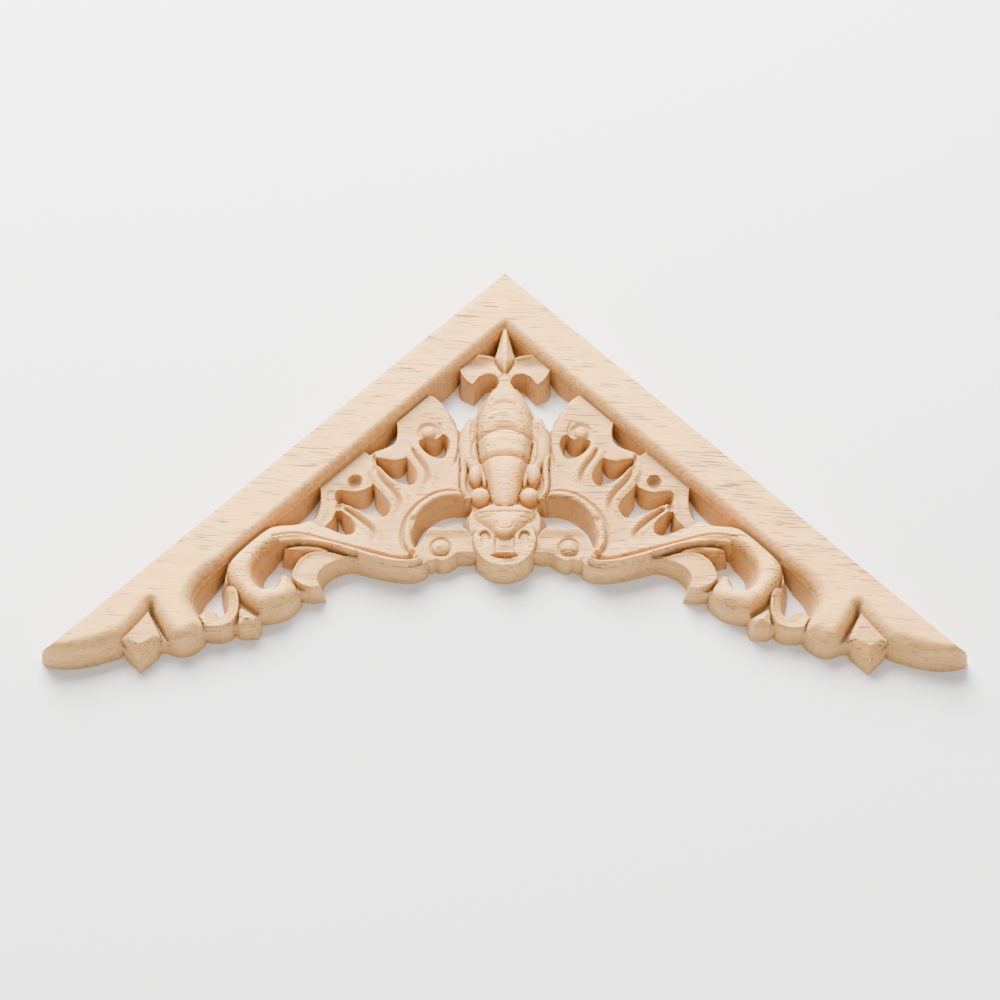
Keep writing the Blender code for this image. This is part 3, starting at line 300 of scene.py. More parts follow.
@dataclass
class Relief:
    """Heights of the carved top over some places of the right half, as the carver leaves them.

    ribs marks where fine cross ribs show, tooled where the gouge left rough dots and shade where
    shade is painted into the wood's colour, from 0 to 1.
    """

    x: Array
    y: Array
    z: Array = field(init=False)
    ribs: Array = field(init=False)
    tooled: Array = field(init=False)
    shade: Array = field(init=False)

    def __post_init__(self) -> None:
        """Start from a bare board."""
        for name in ("z",) + MARKS:
            setattr(self, name, np.zeros(self.x.shape))

    def darken(self, share: Array) -> None:
        """Paint shade into the wood's colour, at least by a share."""
        self.shade = np.maximum(self.shade, share)

    def rib(self, share: Array) -> None:
        """Mark cross ribs at least by a share."""
        self.ribs = np.maximum(self.ribs, share)

    def mix(self, level: Array | float, share: Array) -> None:
        """Take the surface to a level by a share."""
        self.z += (level - self.z) * share

    def inside(self, loop: Path) -> Array:
        """Measure the depth of every place inside a loop of straight sides."""
        return depth_inside(self.x, self.y, np.array(loop, dtype=float))

    def inside_curve(self, loop: Path) -> Array:
        """Measure the depth of every place inside a smooth loop."""
        return depth_inside(self.x, self.y, spline(loop + loop[:1])[:-1])

    def along(self, path: Path, reach: float) -> tuple[Array, Array]:
        """Measure every place's distance to a smooth path, and where along it."""
        return path_distance(self.x, self.y, spline(path), reach)

    def above(self, path: Array) -> Array:
        """Tell which places lie above a path that runs across."""
        order = np.argsort(path[:, 0])
        return self.y > np.interp(self.x, path[order, 0], path[order, 1])

    def stroke(self, *strokes: Stroke) -> None:
        """Raise or cut strokes, one after the other."""
        for one in strokes:
            distance, share = self.along(one.path, 3.0 * one.half_width)
            across = np.clip(1.0 - (distance / one.half_width) ** 2, 0.0, 1.0)
            if one.sides is Sides.ABOVE:
                sharp = np.clip(1.0 - distance / (one.sharp_share * one.half_width), 0.0, 1.0)
                soft = np.clip(1.0 - distance / one.half_width, 0.0, 1.0) ** one.sweep
                across = np.where(self.above(spline(one.path)), soft, sharp)
            ends = ease(share, 0.0, one.fade) * ease(1.0 - share, 0.0, one.fade)
            self.z += one.rise * across * ends

    def furrow(self, path: Path, bank: float, rise: float, half_width: float, depth: float) -> None:
        """Cut a soft groove between two long rounded banks, as a finger of the wing has.

        Args:
            path: Control points of the groove.
            bank: From its middle to the crest of each bank.
            rise: Height of the banks over the surface.
            half_width: From its middle to its edge, where it is widest.
            depth: Depth of its middle under the surface.
        """
        distance, share = self.along(path, 4.0 * bank)
        ends = ease(share, 0.0, 0.10) * ease(1.0 - share, 0.0, 0.35)
        banks = rise * np.exp(-((distance - bank) / (0.6 * bank)) ** 2)
        width = half_width * (0.5 + 0.5 * ease(share, 0.0, 0.45))
        cut = depth * np.exp(-(distance / width) ** 2)
        self.z += np.where(np.isfinite(distance), (banks - cut) * ends, 0.0)

    def dome(self, off: Array, height: float, foot: float) -> None:
        """Lay a half-round form over what is there, off being 0 on its crest and 1 at its foot."""
        crest = foot + (height - foot) * np.sqrt(np.clip(1.0 - off ** 2, 0.0, 1.0))
        self.z = np.where(off < 1.0, np.maximum(self.z, crest), self.z)

    def ridge(self, *ridges: Ridge) -> None:
        """Lay ridges over what is there, one after the other."""
        for one in ridges:
            distance, share = self.along(one.path, 3.0 * one.half_width)
            taper = 1.0 - one.start * (1.0 - ease(share, 0.0, 0.25)) - one.end * ease(share, 0.75, 1.0)
            self.dome(distance / (one.half_width * taper), one.height, one.foot)

    def bead(self, centre: Point, radii: Pair, height: float, foot: float) -> None:
        """Lay a half-round oval bead over what is there."""
        self.dome(oval(self.x, self.y, centre, radii), height, foot)

    def ring_groove(self, centre: Point, radii: Pair, half_width: float, depth: float) -> None:
        """Cut a thin groove round an oval. half_width is a share of the oval's size."""
        distance = oval(self.x, self.y, centre, radii)
        self.z -= depth * np.clip(1.0 - ((distance - 1.0) / half_width) ** 2, 0.0, 1.0)

    def dent(self, *spots: Spot) -> None:
        """Press wide soft hollows into the surface."""
        for centre, radii, depth in spots:
            self.z -= depth * np.exp(-oval(self.x, self.y, centre, radii) ** 2)


class Layer:
    """A part of the carving, laid over the parts before it."""

    def carve(self, relief: Relief) -> None:
        """Carve this part.

        Args:
            relief: The carved top so far, which is changed in place.
        """
        raise NotImplementedError


@dataclass
class Wing(Layer):
    """The wing's soft skin, its three grooved fingers, the rim round the half moon and the thin lip."""

    level: float = 8.4
    swell: float = 1.7
    ear_level: float = 7.5
    lower_ear: Path = (
        (41.4, -47.6), (44.0, -43.0), (62.0, -61.0), (62.0, -71.0), (57.5, -74.4), (53.0, -69.0),
        (53.0, -63.0), (42.0, -58.4)
    )
    dents: tuple[Spot, ...] = (
        ((19.5, -55.0), (5.0, 6.0), 0.7),
        ((35.5, -76.5), (4.2, 5.0), 0.7),
        ((27.0, -62.0), (2.2, 2.4), 0.3),
    )
    fingers: Runs = (
        ((30.0, -44.0), (28.4, -47.4), (26.3, -50.5), (24.8, -53.3), (24.3, -56.4), (25.2, -60.0)),
        (
            (41.0, -49.2), (40.6, -53.2), (38.4, -57.0), (35.6, -60.2), (33.6, -63.6), (33.2, -66.6),
            (34.6, -71.0)
        ),
        ((51.4, -66.4), (47.8, -69.0), (44.2, -72.0), (41.4, -75.0), (40.8, -77.6), (42.4, -80.4)),
    )
    furrow: tuple[float, ...] = (1.6, 0.55, 0.85, 1.35)
    bridge: Oval = ((52.6, -66.2), (1.3, 1.6))
    bridge_level: float = 6.8
    rim: Ridge = Ridge((
        (11.3, -63.6), (14.4, -62.2), (17.6, -62.0), (20.5, -62.6), (23.3, -64.0), (26.0, -66.2),
        (28.3, -69.2), (29.7, -72.4), (30.4, -75.8), (30.3, -79.0), (29.4, -81.6), (27.8, -84.0)
    ), 1.25, 9.7, 8.0, 0.45, 0.2)
    rim_groove: Stroke = Stroke((
        (12.6, -61.4), (17.6, -60.4), (21.4, -61.2), (24.6, -63.0), (27.6, -65.6), (30.0, -68.6),
        (31.6, -72.0), (32.3, -75.8), (32.1, -79.4), (30.8, -82.4), (29.0, -84.4)
    ), 0.85, -0.9, 0.12)
    lip: Ridge = Ridge((
        (26.4, -86.0), (28.6, -87.0), (32.0, -87.1), (36.0, -86.5), (40.6, -85.3), (45.0, -84.0),
        (50.0, -82.3), (55.0, -80.7), (60.0, -79.7), (65.0, -79.3), (70.0, -79.8)
    ), 0.9, 11.2, 9.4, 0.3)
    lip_groove: Path = (
        (28.6, -83.6), (30.4, -85.0), (34.0, -85.2), (38.0, -84.4), (44.0, -82.6), (50.0, -80.8),
        (57.0, -78.9), (63.0, -78.0), (68.0, -78.0), (72.5, -78.8)
    )
    lip_groove_size: Pair = (1.3, 1.6)
    lip_groove_loss: Pair = (0.85, 1.0)

    def carve(self, relief: Relief) -> None:
        """Carve the skin, the fingers, the thin bridge beside the third of them, and the rim."""
        relief.z = np.full(relief.x.shape, self.level)
        to_lip, _ = relief.along(self.lip.path, 30.0)
        relief.z += self.swell * ease(12.0 - to_lip, 0.0, 11.0) * ease(relief.x, 30.0, 46.0)
        relief.mix(self.ear_level, ease(relief.inside(self.lower_ear), -0.6, 0.6))
        relief.dent(*self.dents)
        for finger in self.fingers:
            relief.furrow(finger, *self.furrow)
        bridge = oval(relief.x, relief.y, *self.bridge)
        relief.mix(self.bridge_level, ease(1.0 - bridge, -0.1, 0.6))
        relief.stroke(self.rim_groove)
        relief.ridge(self.rim)
        to_rim, share = relief.along(self.rim.path, 3.0)
        relief.rib(ease(1.4 - to_rim, 0.0, 0.4) * ease(share, 0.35, 0.5))

    def carve_lip(self, relief: Relief) -> None:
        """Carve the thin raised lip along the wing's lower edge, with the groove above it."""
        distance, share = relief.along(self.lip_groove, 5.0)
        narrow = ease(share, 0.15, 0.5)
        sizes = zip(self.lip_groove_size, self.lip_groove_loss)
        width, depth = (size - loss * narrow for size, loss in sizes)
        relief.z -= depth * np.clip(1.0 - (distance / width) ** 2, 0.0, 1.0)
        relief.ridge(self.lip)


@dataclass
class Ears(Layer):
    """The two cloud-headed ears of the wing: a knob in its ring on one, a gouged pit on the other."""

    knob: Point = (24.5, -38.8)
    knob_radii: Pair = (2.3, 2.3)
    knob_heights: Pair = (9.1, 7.4)
    ring_radii: Pair = (2.9, 2.9)
    ring_size: Pair = (0.35, 0.7)
    hollow: Spot = ((24.0, -37.0), (4.6, 4.2), 0.7)
    upper_cuts: tuple[Stroke, ...] = (
        Stroke(((21.6, -34.6), (20.7, -36.4), (20.6, -38.4), (21.4, -40.2)), 0.55, -0.6, 0.2),
        Stroke(((14.6, -40.4), (14.7, -44.0), (15.3, -48.0), (16.6, -52.0)), 0.6, -1.1, 0.3),
    )
    pit: Point = (47.6, -56.6)
    pit_radius: float = 2.4
    pit_depth: float = 3.0
    lower_cuts: tuple[Stroke, ...] = (
        Stroke(((44.2, -52.4), (43.0, -55.4), (43.6, -58.6)), 0.8, -0.35, 0.3),
        Stroke(((41.9, -46.8), (41.5, -50.4), (41.7, -54.6)), 0.5, -0.9),
        Stroke(((55.0, -58.6), (55.4, -63.0), (55.6, -68.0), (57.0, -72.6)), 1.3, -0.4, 0.2),
    )
    limb: Path = ((54.4, -59.0), (54.6, -64.0), (55.2, -69.0), (57.4, -73.2))

    def carve(self, relief: Relief) -> None:
        """Carve both ears, and the faint ribs on the lower one's limb."""
        relief.dent(self.hollow)
        relief.ring_groove(self.knob, self.ring_radii, *self.ring_size)
        relief.bead(self.knob, self.knob_radii, *self.knob_heights)
        relief.stroke(*self.upper_cuts)
        distance = np.hypot(relief.x - self.pit[0], relief.y - self.pit[1])
        bowl = np.clip(1.0 - (distance / self.pit_radius) ** 2, 0.0, 1.0) ** 0.7
        relief.z -= self.pit_depth * bowl
        relief.stroke(*self.lower_cuts)
        to_limb, _ = relief.along(self.limb, 2.0)
        relief.rib(0.7 * ease(1.2 - to_limb, 0.0, 0.6))


@dataclass
class Scroll(Layer):
    """The fat round-nosed scroll at the wing's end, with its leaf, slim finger, hook and bud."""

    outer: Path = (
        (56.0, -73.6), (60.5, -71.4), (65.4, -72.8), (71.4, -73.4), rail_edge(74.5), rail_edge(85.0),
        (86.6, -88.5), (86.4, -91.4), (85.0, -94.9), (82.6, -98.0), (80.6, -100.6), (77.8, -102.6),
        (75.4, -103.8), (70.6, -102.5), (67.2, -101.0), (64.9, -98.6), (64.1, -96.2), (64.7, -93.6),
        (66.2, -91.4)
    )
    inner: Path = ((69.4, -90.4),) + SCROLL_EYE + (
        (68.0, -80.2), (64.0, -80.1), (60.0, -80.5), (54.0, -81.9), (47.0, -84.2),
    )
    tip: Point = (67.6, -91.0)
    tip_drop: float = 2.0
    outer_round: Pair = (3.9, 5.2)
    inner_round: Pair = (2.3, 3.2)
    nose_mark: Stroke = Stroke(((69.6, -92.2), (70.2, -94.4), (71.4, -97.0)), 0.4, -0.35, 0.2)
    leaf: Path = (
        (46.0, -83.9), (50.2, -83.9), (55.3, -83.0), (59.3, -82.9), (62.6, -84.3), (65.2, -87.8),
        (66.2, -91.2), (65.3, -92.9), (63.2, -94.5), (60.6, -95.5), (57.0, -96.6), (50.0, -97.5),
        (46.0, -87.0)
    )
    leaf_edge: Stroke = Stroke((
        (50.2, -84.2), (55.3, -83.4), (59.2, -83.3), (62.3, -84.7), (64.8, -88.0), (65.8, -91.4)
    ), 0.8, 0.3, 0.1)
    leaf_level: float = 8.2
    finger: Ridge = Ridge((
        (55.5, -82.7), (58.5, -81.9), (62.0, -81.6), (65.5, -81.8), (68.4, -82.2)
    ), 1.15, 9.1, 7.0, 0.5, 0.6)
    under_lip: Path = (
        (47.5, -83.6), (54.0, -81.3), (60.0, -80.3), (65.0, -79.9), (69.5, -80.3), (69.5, -91.0),
        (66.4, -91.6), (64.6, -93.9), (64.2, -97.4), (60.0, -99.0), (47.0, -89.0)
    )
    valley_level: float = 6.2
    beside_hook: Path = (
        (74.6, -104.6), (80.6, -100.6), (85.2, -94.9), (88.0, -100.0), (94.0, -110.0), (93.4, -112.0),
        (76.0, -112.0)
    )
    hook: Path = (
        (83.6, -95.2), (82.4, -97.6), (81.9, -101.0), (82.2, -104.8), (83.6, -107.8), (86.2, -109.6),
        (90.2, -109.9), (93.6, -108.6), (96.2, -105.6), (96.4, -102.5), (90.0, -101.0), (87.4, -94.0)
    )
    hook_level: float = 9.2
    hook_rim: Stroke = Stroke((
        (83.7, -96.0), (82.6, -99.0), (82.6, -104.0), (84.3, -107.3), (86.6, -108.8), (90.0, -109.0),
        (92.4, -107.8), (94.3, -105.4)
    ), 0.55, 0.25, 0.03)
    hook_groove: Stroke = Stroke((
        (84.1, -96.6), (83.5, -99.8), (83.7, -103.4), (85.0, -106.2), (87.6, -107.6)
    ), 0.35, -0.3, 0.2)
    bud: Path = ((75.5, -105.8), (81.4, -102.1), (81.9, -103.4), (81.8, -108.6), (76.7, -108.6))
    bud_level: float = 8.2

    def carve(self, relief: Relief) -> None:
        """Carve the bullnose of the scroll."""
        outer, inner = spline(self.outer), spline(self.inner)
        body = depth_inside(relief.x, relief.y, np.vstack([outer, inner]), 20.0)
        to_outer, _ = path_distance(relief.x, relief.y, outer, 30.0)
        to_inner, _ = path_distance(relief.x, relief.y, inner, 30.0)
        to_tip = np.hypot(relief.x - self.tip[0], relief.y - self.tip[1])
        top = TOP - self.tip_drop * ease(10.0 - to_tip, 0.0, 9.0)
        nose = top - round_over(to_outer, *self.outer_round) - round_over(to_inner, *self.inner_round)
        share = ease(body, -0.4, 0.1) * ease(relief.x, 54.0, 66.0)
        carved = relief.z + (np.where(np.isfinite(nose), nose, relief.z) - relief.z) * share
        relief.z = np.where(body > -0.4, carved, relief.z)
        relief.stroke(self.nose_mark)

    def carve_leaf(self, relief: Relief) -> None:
        """Carve the curled leaf under the wing, with a slim finger between it and the lip."""
        relief.mix(self.valley_level, ease(relief.inside(self.under_lip), -0.2, 1.1))
        plate = relief.inside_curve(self.leaf)
        level = self.leaf_level + 0.9 * ease(relief.x, 46.0, 56.0)
        relief.mix(level - 0.25 * np.exp(-((plate - 2.4) / 1.6) ** 2), ease(plate, -0.3, 0.3))
        relief.stroke(self.leaf_edge)
        relief.ridge(self.finger)

    def carve_hook_and_bud(self, relief: Relief) -> None:
        """Carve the small hook that runs to the rail's lobe and the square bud beside it."""
        relief.mix(self.valley_level, ease(relief.inside(self.beside_hook), -0.2, 0.4))
        hook = relief.inside_curve(self.hook)
        to_rim, _ = relief.along(self.hook_rim.path, 12.0)
        scoop = 0.95 * np.clip(to_rim - 0.5, 0.0, 2.4) - 0.25 * ease(to_rim, 2.2, 3.2)
        relief.mix(self.hook_level - scoop - 1.7 * ease(relief.x, 91.5, 95.5), ease(hook, -0.1, 0.25))
        relief.stroke(self.hook_rim, self.hook_groove)
        bud = relief.inside(self.bud)
        relief.mix(self.bud_level + 0.75 * np.clip(bud, 0.0, 2.2), ease(bud, -0.1, 0.25))


@dataclass
class Panel(Layer):
    """The low cloud-edged panel between coin and wing, with its round knob."""

    loop: Path = ((8.0, -71.0), (30.0, -71.0), (28.0, -80.5), (25.6, -83.5), (24.8, -87.5), (8.0, -87.0))
    level: float = 7.4
    slope: float = 1.1
    knob: Point = (20.1, -80.6)
    knob_radii: Pair = (2.8, 2.8)
    knob_heights: Pair = (9.0, 6.8)
    ring_radius: float = 3.1
    ring_size: Pair = (0.6, 0.6)
    lifted_edge: Stroke = Stroke(((22.6, -86.2), (23.6, -84.6), (24.6, -82.8)), 0.8, 0.5, 0.3)

    def carve(self, relief: Relief) -> None:
        """Carve the panel, sloping up to its cloud edge, and the knob in its ring."""
        level = self.level + self.slope * ease(relief.y, -77.4, -74.2)
        relief.mix(level, ease(relief.inside(self.loop), -1.2, 0.6))
        distance = np.hypot(relief.x - self.knob[0], relief.y - self.knob[1])
        half_width, depth = self.ring_size
        ring = np.clip(1.0 - ((distance - self.ring_radius) / half_width) ** 2, 0.0, 1.0)
        relief.z -= depth * (ring * ease(relief.y, -84.0, -83.0))
        relief.bead(self.knob, self.knob_radii, *self.knob_heights)
        relief.stroke(self.lifted_edge)


@dataclass
class Coin(Layer):
    """The coin under the head: a broad ring, two curled loops and a lens-shaped slot."""

    centre: Point = (0.0, -78.5)
    radius: float = 9.6
    field_level: float = 8.9
    rim_level: float = 9.7
    lens: Oval = ((6.3, -79.1), (1.35, 3.3))
    lens_depth: float = 0.9
    arch: Stroke = Stroke(((4.7, -79.2), (4.9, -77.3), (6.0, -75.9), (7.2, -76.4), (7.9, -78.0)),
                          0.55, -1.3)
    field_size: Pair = (3.05, 7.3)
    slot: Oval = ((0.0, -84.4), (4.7, 1.35))
    slot_depth: float = 3.0
    field_edge: Stroke = Stroke(((3.3, -77.2), (3.15, -79.4), (3.3, -82.2)), 0.42, -0.6, 0.25)
    nicks: tuple[Stroke, ...] = (
        Stroke(((8.0, -79.6), (9.6, -79.5)), 0.3, -0.3, 0.1),
        Stroke(((7.4, -81.5), (9.2, -81.7)), 0.3, -0.3, 0.1),
    )

    def edge(self, start: float, end: float, count: int) -> Array:
        """Return some points of the disc's edge, from one angle to another."""
        turn = np.linspace(start, end, count)
        return np.column_stack([self.radius * np.cos(turn), self.centre[1] + self.radius * np.sin(turn)])

    def carve(self, relief: Relief) -> None:
        """Carve the disc, its field, the loop beside it and the slot below."""
        x, y = relief.x, relief.y
        radius = np.hypot(x - self.centre[0], y - self.centre[1])
        relief.mix(self.rim_level, ease(self.radius + 0.2 - radius, -0.2, 0.2))
        lens = oval(x, y, *self.lens)
        relief.z -= self.lens_depth * ease(1.0 - lens, 0.0, 0.4) * ease(y, -82.6, -78.2)
        relief.stroke(self.arch)
        half_width, reach = self.field_size
        flat = ease(half_width - x, -0.15, 0.15) * ease(y, -83.4, -82.8) * (radius < reach)
        relief.mix(self.field_level, flat)
        relief.stroke(self.field_edge)
        (_, middle), (half_length, half_height) = self.slot
        slot = half_height * (1.0 - (x / half_length) ** 2) - np.abs(y - middle)
        relief.z -= self.slot_depth * ease(slot, 0.0, 0.6)
        relief.stroke(*self.nicks)


@dataclass
class Body(Layer):
    """The bat's bulging body in three overlapping segments, from the collar to the tail end."""

    profile: tuple[Triple, ...] = (
        (-20.5, 2.2, 8.0), (-22.6, 4.0, 9.2), (-25.2, 5.6, 10.0), (-28.6, 6.9, 10.6), (-31.6, 7.9, 11.4),
        (-35.0, 8.7, 11.5), (-38.0, 8.9, 11.2), (-42.5, 8.8, 11.9), (-48.4, 8.0, 11.4),
        (-52.0, 7.0, 11.6), (-56.0, 5.9, 11.3), (-60.5, 4.9, 10.9), (-63.5, 4.2, 10.5),
        (-65.6, 3.0, 10.0), (-66.8, 0.6, 9.0)
    )
    grooves: tuple[Stroke, ...] = (
        Stroke((
            (-4.6, -30.3), (-2.4, -29.0), (0.0, -28.6), (2.4, -29.0), (4.6, -30.3)
        ), 1.6, -0.9, 0.18, Sides.ABOVE),
        Stroke((
            (-8.8, -42.0), (-5.4, -40.2), (-2.2, -39.2), (0.0, -39.0), (2.2, -39.2), (5.4, -40.2),
            (8.8, -42.0)
        ), 2.4, -1.4, 0.01, Sides.ABOVE),
        Stroke((
            (-8.2, -50.6), (-5.9, -49.6), (-3.2, -49.0), (0.0, -48.9), (3.2, -49.0), (5.9, -49.6),
            (8.2, -50.6)
        ), 2.2, -1.35, 0.01, Sides.ABOVE),
    )
    side_level: float = 7.4
    side_strokes: tuple[Stroke, ...] = (
        Stroke(((8.3, -41.4), (9.5, -44.6), (9.6, -47.8), (8.8, -50.6), (7.4, -52.9)), 0.55, 0.5, 0.1),
        Stroke(((9.3, -40.6), (10.4, -44.6), (10.5, -48.4), (9.4, -51.8)), 0.5, -0.6, 0.2),
    )

    def carve(self, relief: Relief) -> None:
        """Carve the body over its valley, and paint shade above the two wide grooves."""
        x, y = relief.x, relief.y
        place, width, crest = (np.array(column) for column in zip(*self.profile))
        half = np.interp(-y, -place, width)
        high = np.interp(-y, -place, crest)
        within = (y < place[0]) & (y > place[-1])
        share = np.clip(x / half, 0.0, 1.0)
        bulge = self.side_level + (high - self.side_level) * (1.0 - share ** 2.3) ** 0.72
        relief.z = np.where(within & (x < half), bulge, relief.z)
        relief.stroke(*self.grooves)
        # painted shade in the shadow above each wide groove
        for groove in self.grooves[1:]:
            distance, share = relief.along(groove.path, 2.0)
            ends = ease(0.5 - np.abs(share - 0.5), 0.0, 0.1)
            relief.darken(0.9 * ease(1.3 - distance, 0.0, 1.1) * relief.above(np.array(groove.path)) * ends)
        relief.stroke(*self.side_strokes)


@dataclass
class Head(Layer):
    """The bat's head above the coin: a broad brow that narrows to a ringed nose."""

    brow: Path = (
        (10.2, -69.5), (9.4, -68.5), (6.8, -67.2), (4.2, -66.0), (2.2, -66.5), (0.0, -66.7),
        (-2.2, -66.5), (-4.2, -66.0)
    )
    jaw: Path = (
        (10.2, -69.5), (8.7, -71.8), (6.2, -73.9), (4.3, -75.6), (2.8, -77.5), (1.4, -78.3), (0.0, -78.5),
        (-1.4, -78.3), (-2.8, -77.5)
    )
    low_level: float = 8.3
    high_level: float = 11.0
    slope_width: float = 5.4
    muzzle: Oval = ((0.0, -74.2), (3.5, 4.5))
    muzzle_level: float = 8.4
    lines: tuple[Stroke, ...] = (
        Stroke(((-9.0, -69.6), (0.0, -69.2), (9.0, -69.6)), 0.45, -0.4, 0.08),
        Stroke(((3.4, -71.2), (5.6, -71.0), (8.0, -71.1)), 0.4, -0.25, 0.2),
    )
    nose: Point = (0.0, -73.8)
    nose_rings: tuple[tuple[Pair, float, float], ...] = (((2.6, 1.8), 0.20, 0.4), ((1.2, 0.8), 0.40, 0.3))

    def carve(self, relief: Relief) -> None:
        """Carve the brow, its line and the ringed nose that stands out of the soft cheeks."""
        loop = np.vstack([spline(self.brow)[::-1], spline(self.jaw)[1:]])
        on_head = ease(depth_inside(relief.x, relief.y, loop), -0.15, 0.15)
        to_brow, _ = relief.along(self.brow, 20.0)
        to_jaw, _ = relief.along(self.jaw, 20.0)
        slope = np.clip(1.0 - to_jaw / self.slope_width, 0.0, 1.0)
        cheeks = self.low_level + (self.high_level - self.low_level) * (1.0 - slope ** 1.8)
        edge = self.low_level + 0.8 + 1.5 * ease(to_brow, 0.0, 1.1)
        relief.mix(np.minimum(cheeks, edge), on_head)
        # painted shade on the cheeks' lower parts, along the jaw
        relief.darken(on_head * ease(3.6 - to_jaw, 0.0, 3.4))
        muzzle = oval(relief.x, relief.y, *self.muzzle)
        bump = self.muzzle_level + 3.0 * np.clip(1.0 - muzzle ** 3, 0.0, 1.0) ** 0.6
        relief.z = np.where(muzzle < 1.0, np.maximum(relief.z, bump), relief.z)
        relief.stroke(*self.lines)
        for radii, half_width, depth in self.nose_rings:
            relief.ring_groove(self.nose, radii, half_width, depth)


@dataclass
class Arms(Layer):
    """The folded arm beside the body, the strap along the wing, a twig, and the oval and round beads."""

    valley: Path = (
        (7.0, -31.0), (15.0, -31.0), (15.2, -39.0), (14.6, -47.0), (14.6, -59.0), (13.6, -63.0),
        (11.0, -65.6), (10.5, -68.4), (4.0, -67.6), (3.0, -59.0), (6.0, -41.0)
    )
    valley_level: float = 6.4
    ridges: tuple[Ridge, ...] = (
        Ridge((
            (10.7, -35.3), (11.4, -39.3), (11.9, -43.3), (11.3, -47.4), (9.8, -51.4)
        ), 2.9, 9.6, 7.2, 0.2, 0.3),
        Ridge((
            (14.0, -47.6), (13.2, -50.4), (13.1, -54.4), (13.3, -58.4), (12.7, -61.6), (11.6, -63.4)
        ), 1.0, 9.4, 7.2, 0.3),
        Ridge(((8.4, -49.6), (7.4, -52.6), (6.7, -55.6), (6.3, -58.6)), 0.8, 8.8, 6.8, 0.2, 0.4),
    )
    cuts: tuple[Stroke, ...] = (
        Stroke(((10.6, -35.6), (10.8, -38.4), (11.0, -41.6)), 0.4, -0.5, 0.2),
        Stroke(((14.4, -55.0), (14.2, -58.4), (13.4, -61.6), (11.6, -63.8)), 0.4, -0.6),
    )
    beads: tuple[Spot, ...] = (((9.3, -54.6), (2.2, 4.1), 10.2), ((7.8, -62.4), (3.1, 3.0), 10.4))
    bead_foot: float = 7.2

    def carve(self, relief: Relief) -> None:
        """Carve what lies beside the body."""
        depth = relief.inside(self.valley)
        level = relief.z + (self.valley_level - relief.z) * ease(depth, -0.4, 0.6)
        relief.z = np.where(depth > -0.4, level, relief.z)
        relief.ridge(*self.ridges)
        relief.stroke(*self.cuts)
        for bead in self.beads:
            relief.bead(*bead, self.bead_foot)
        # painted shade on the valley's floor and the beads' lower flanks, deeper the lower they lie
        relief.darken(ease(depth, 0.0, 1.0) * ease(10.2 - relief.z, 0.0, 2.4))


@dataclass
class Fleur(Layer):
    """The lily in the corner: two curled petals and a ridged spike between them."""

    petal: Path = (
        (0.0, -15.9), (0.9, -15.0), (2.1, -13.2), (3.1, -11.0), (5.0, -8.5), (9.5, -8.5), (16.0, -15.0),
        (12.5, -21.0), (10.0, -22.5), (5.0, -19.0), (2.6, -21.6), (0.0, -22.5), (-3.0, -19.0)
    )
    level: float = 8.5
    hollow: Spot = ((8.0, -13.0), (4.6, 2.4), 2.0)
    rims: tuple[Stroke, ...] = (
        Stroke(((2.6, -12.0), (4.2, -10.6), (6.6, -10.0), (9.0, -9.6)), 0.8, 0.6, 0.1),
        Stroke((
            (14.6, -15.2), (13.8, -17.4), (12.1, -19.7), (10.6, -20.8), (8.8, -18.9), (6.9, -17.3)
        ), 0.8, 0.7, 0.1),
    )
    spike: Path = (
        (0.5, 1.0), (-4.2, 1.9), (-7.5, 2.7), (-10.6, 3.3), (-12.2, 2.8), (-14.2, 1.6), (-16.4, 0.1)
    )
    spike_top: float = 10.6
    spike_foot: float = 7.6
    flat_width: float = 0.55
    cuts: tuple[Stroke, ...] = (
        Stroke(((3.4, -10.7), (2.7, -12.6), (1.6, -14.8), (0.4, -16.6)), 0.6, -1.0, 0.08),
        Stroke(((0.0, -17.0), (1.6, -17.9), (2.4, -19.4)), 0.5, -0.4),
        Stroke(((0.0, -19.6), (1.2, -19.4), (2.2, -20.4)), 0.5, -0.35, 0.1),
    )

    def carve(self, relief: Relief) -> None:
        """Carve the petals, the spike with its ribs, and the collar."""
        x, y = relief.x, relief.y
        level = self.level + 0.5 * np.exp(-((x - 8.5) / 4.5) ** 2 - ((y + 14.5) / 4.0) ** 2)
        relief.mix(level, ease(relief.inside(self.petal), -0.2, 0.4))
        relief.dent(self.hollow)
        relief.stroke(*self.rims)
        place, width = (np.array(column) for column in zip(*self.spike))
        half = np.interp(-y, -place, width)
        within = (y < place[0]) & (y > place[-1]) & (x < half)
        flank = np.clip((x - self.flat_width) / np.maximum(half - self.flat_width, 0.1), 0.0, 1.0)
        ridge = self.spike_top - 2.9 * flank - 1.4 * ease(-y, 12.0, 16.4)
        relief.z = np.where(within, np.maximum(ridge, self.spike_foot), relief.z)
        ribs = ease(flank, 0.05, 0.3) * ease(-y, 0.0, 1.5) * ease(12.0 + y, 0.0, 2.0)
        relief.ribs = np.where(within, ribs, relief.ribs)
        relief.stroke(*self.cuts)


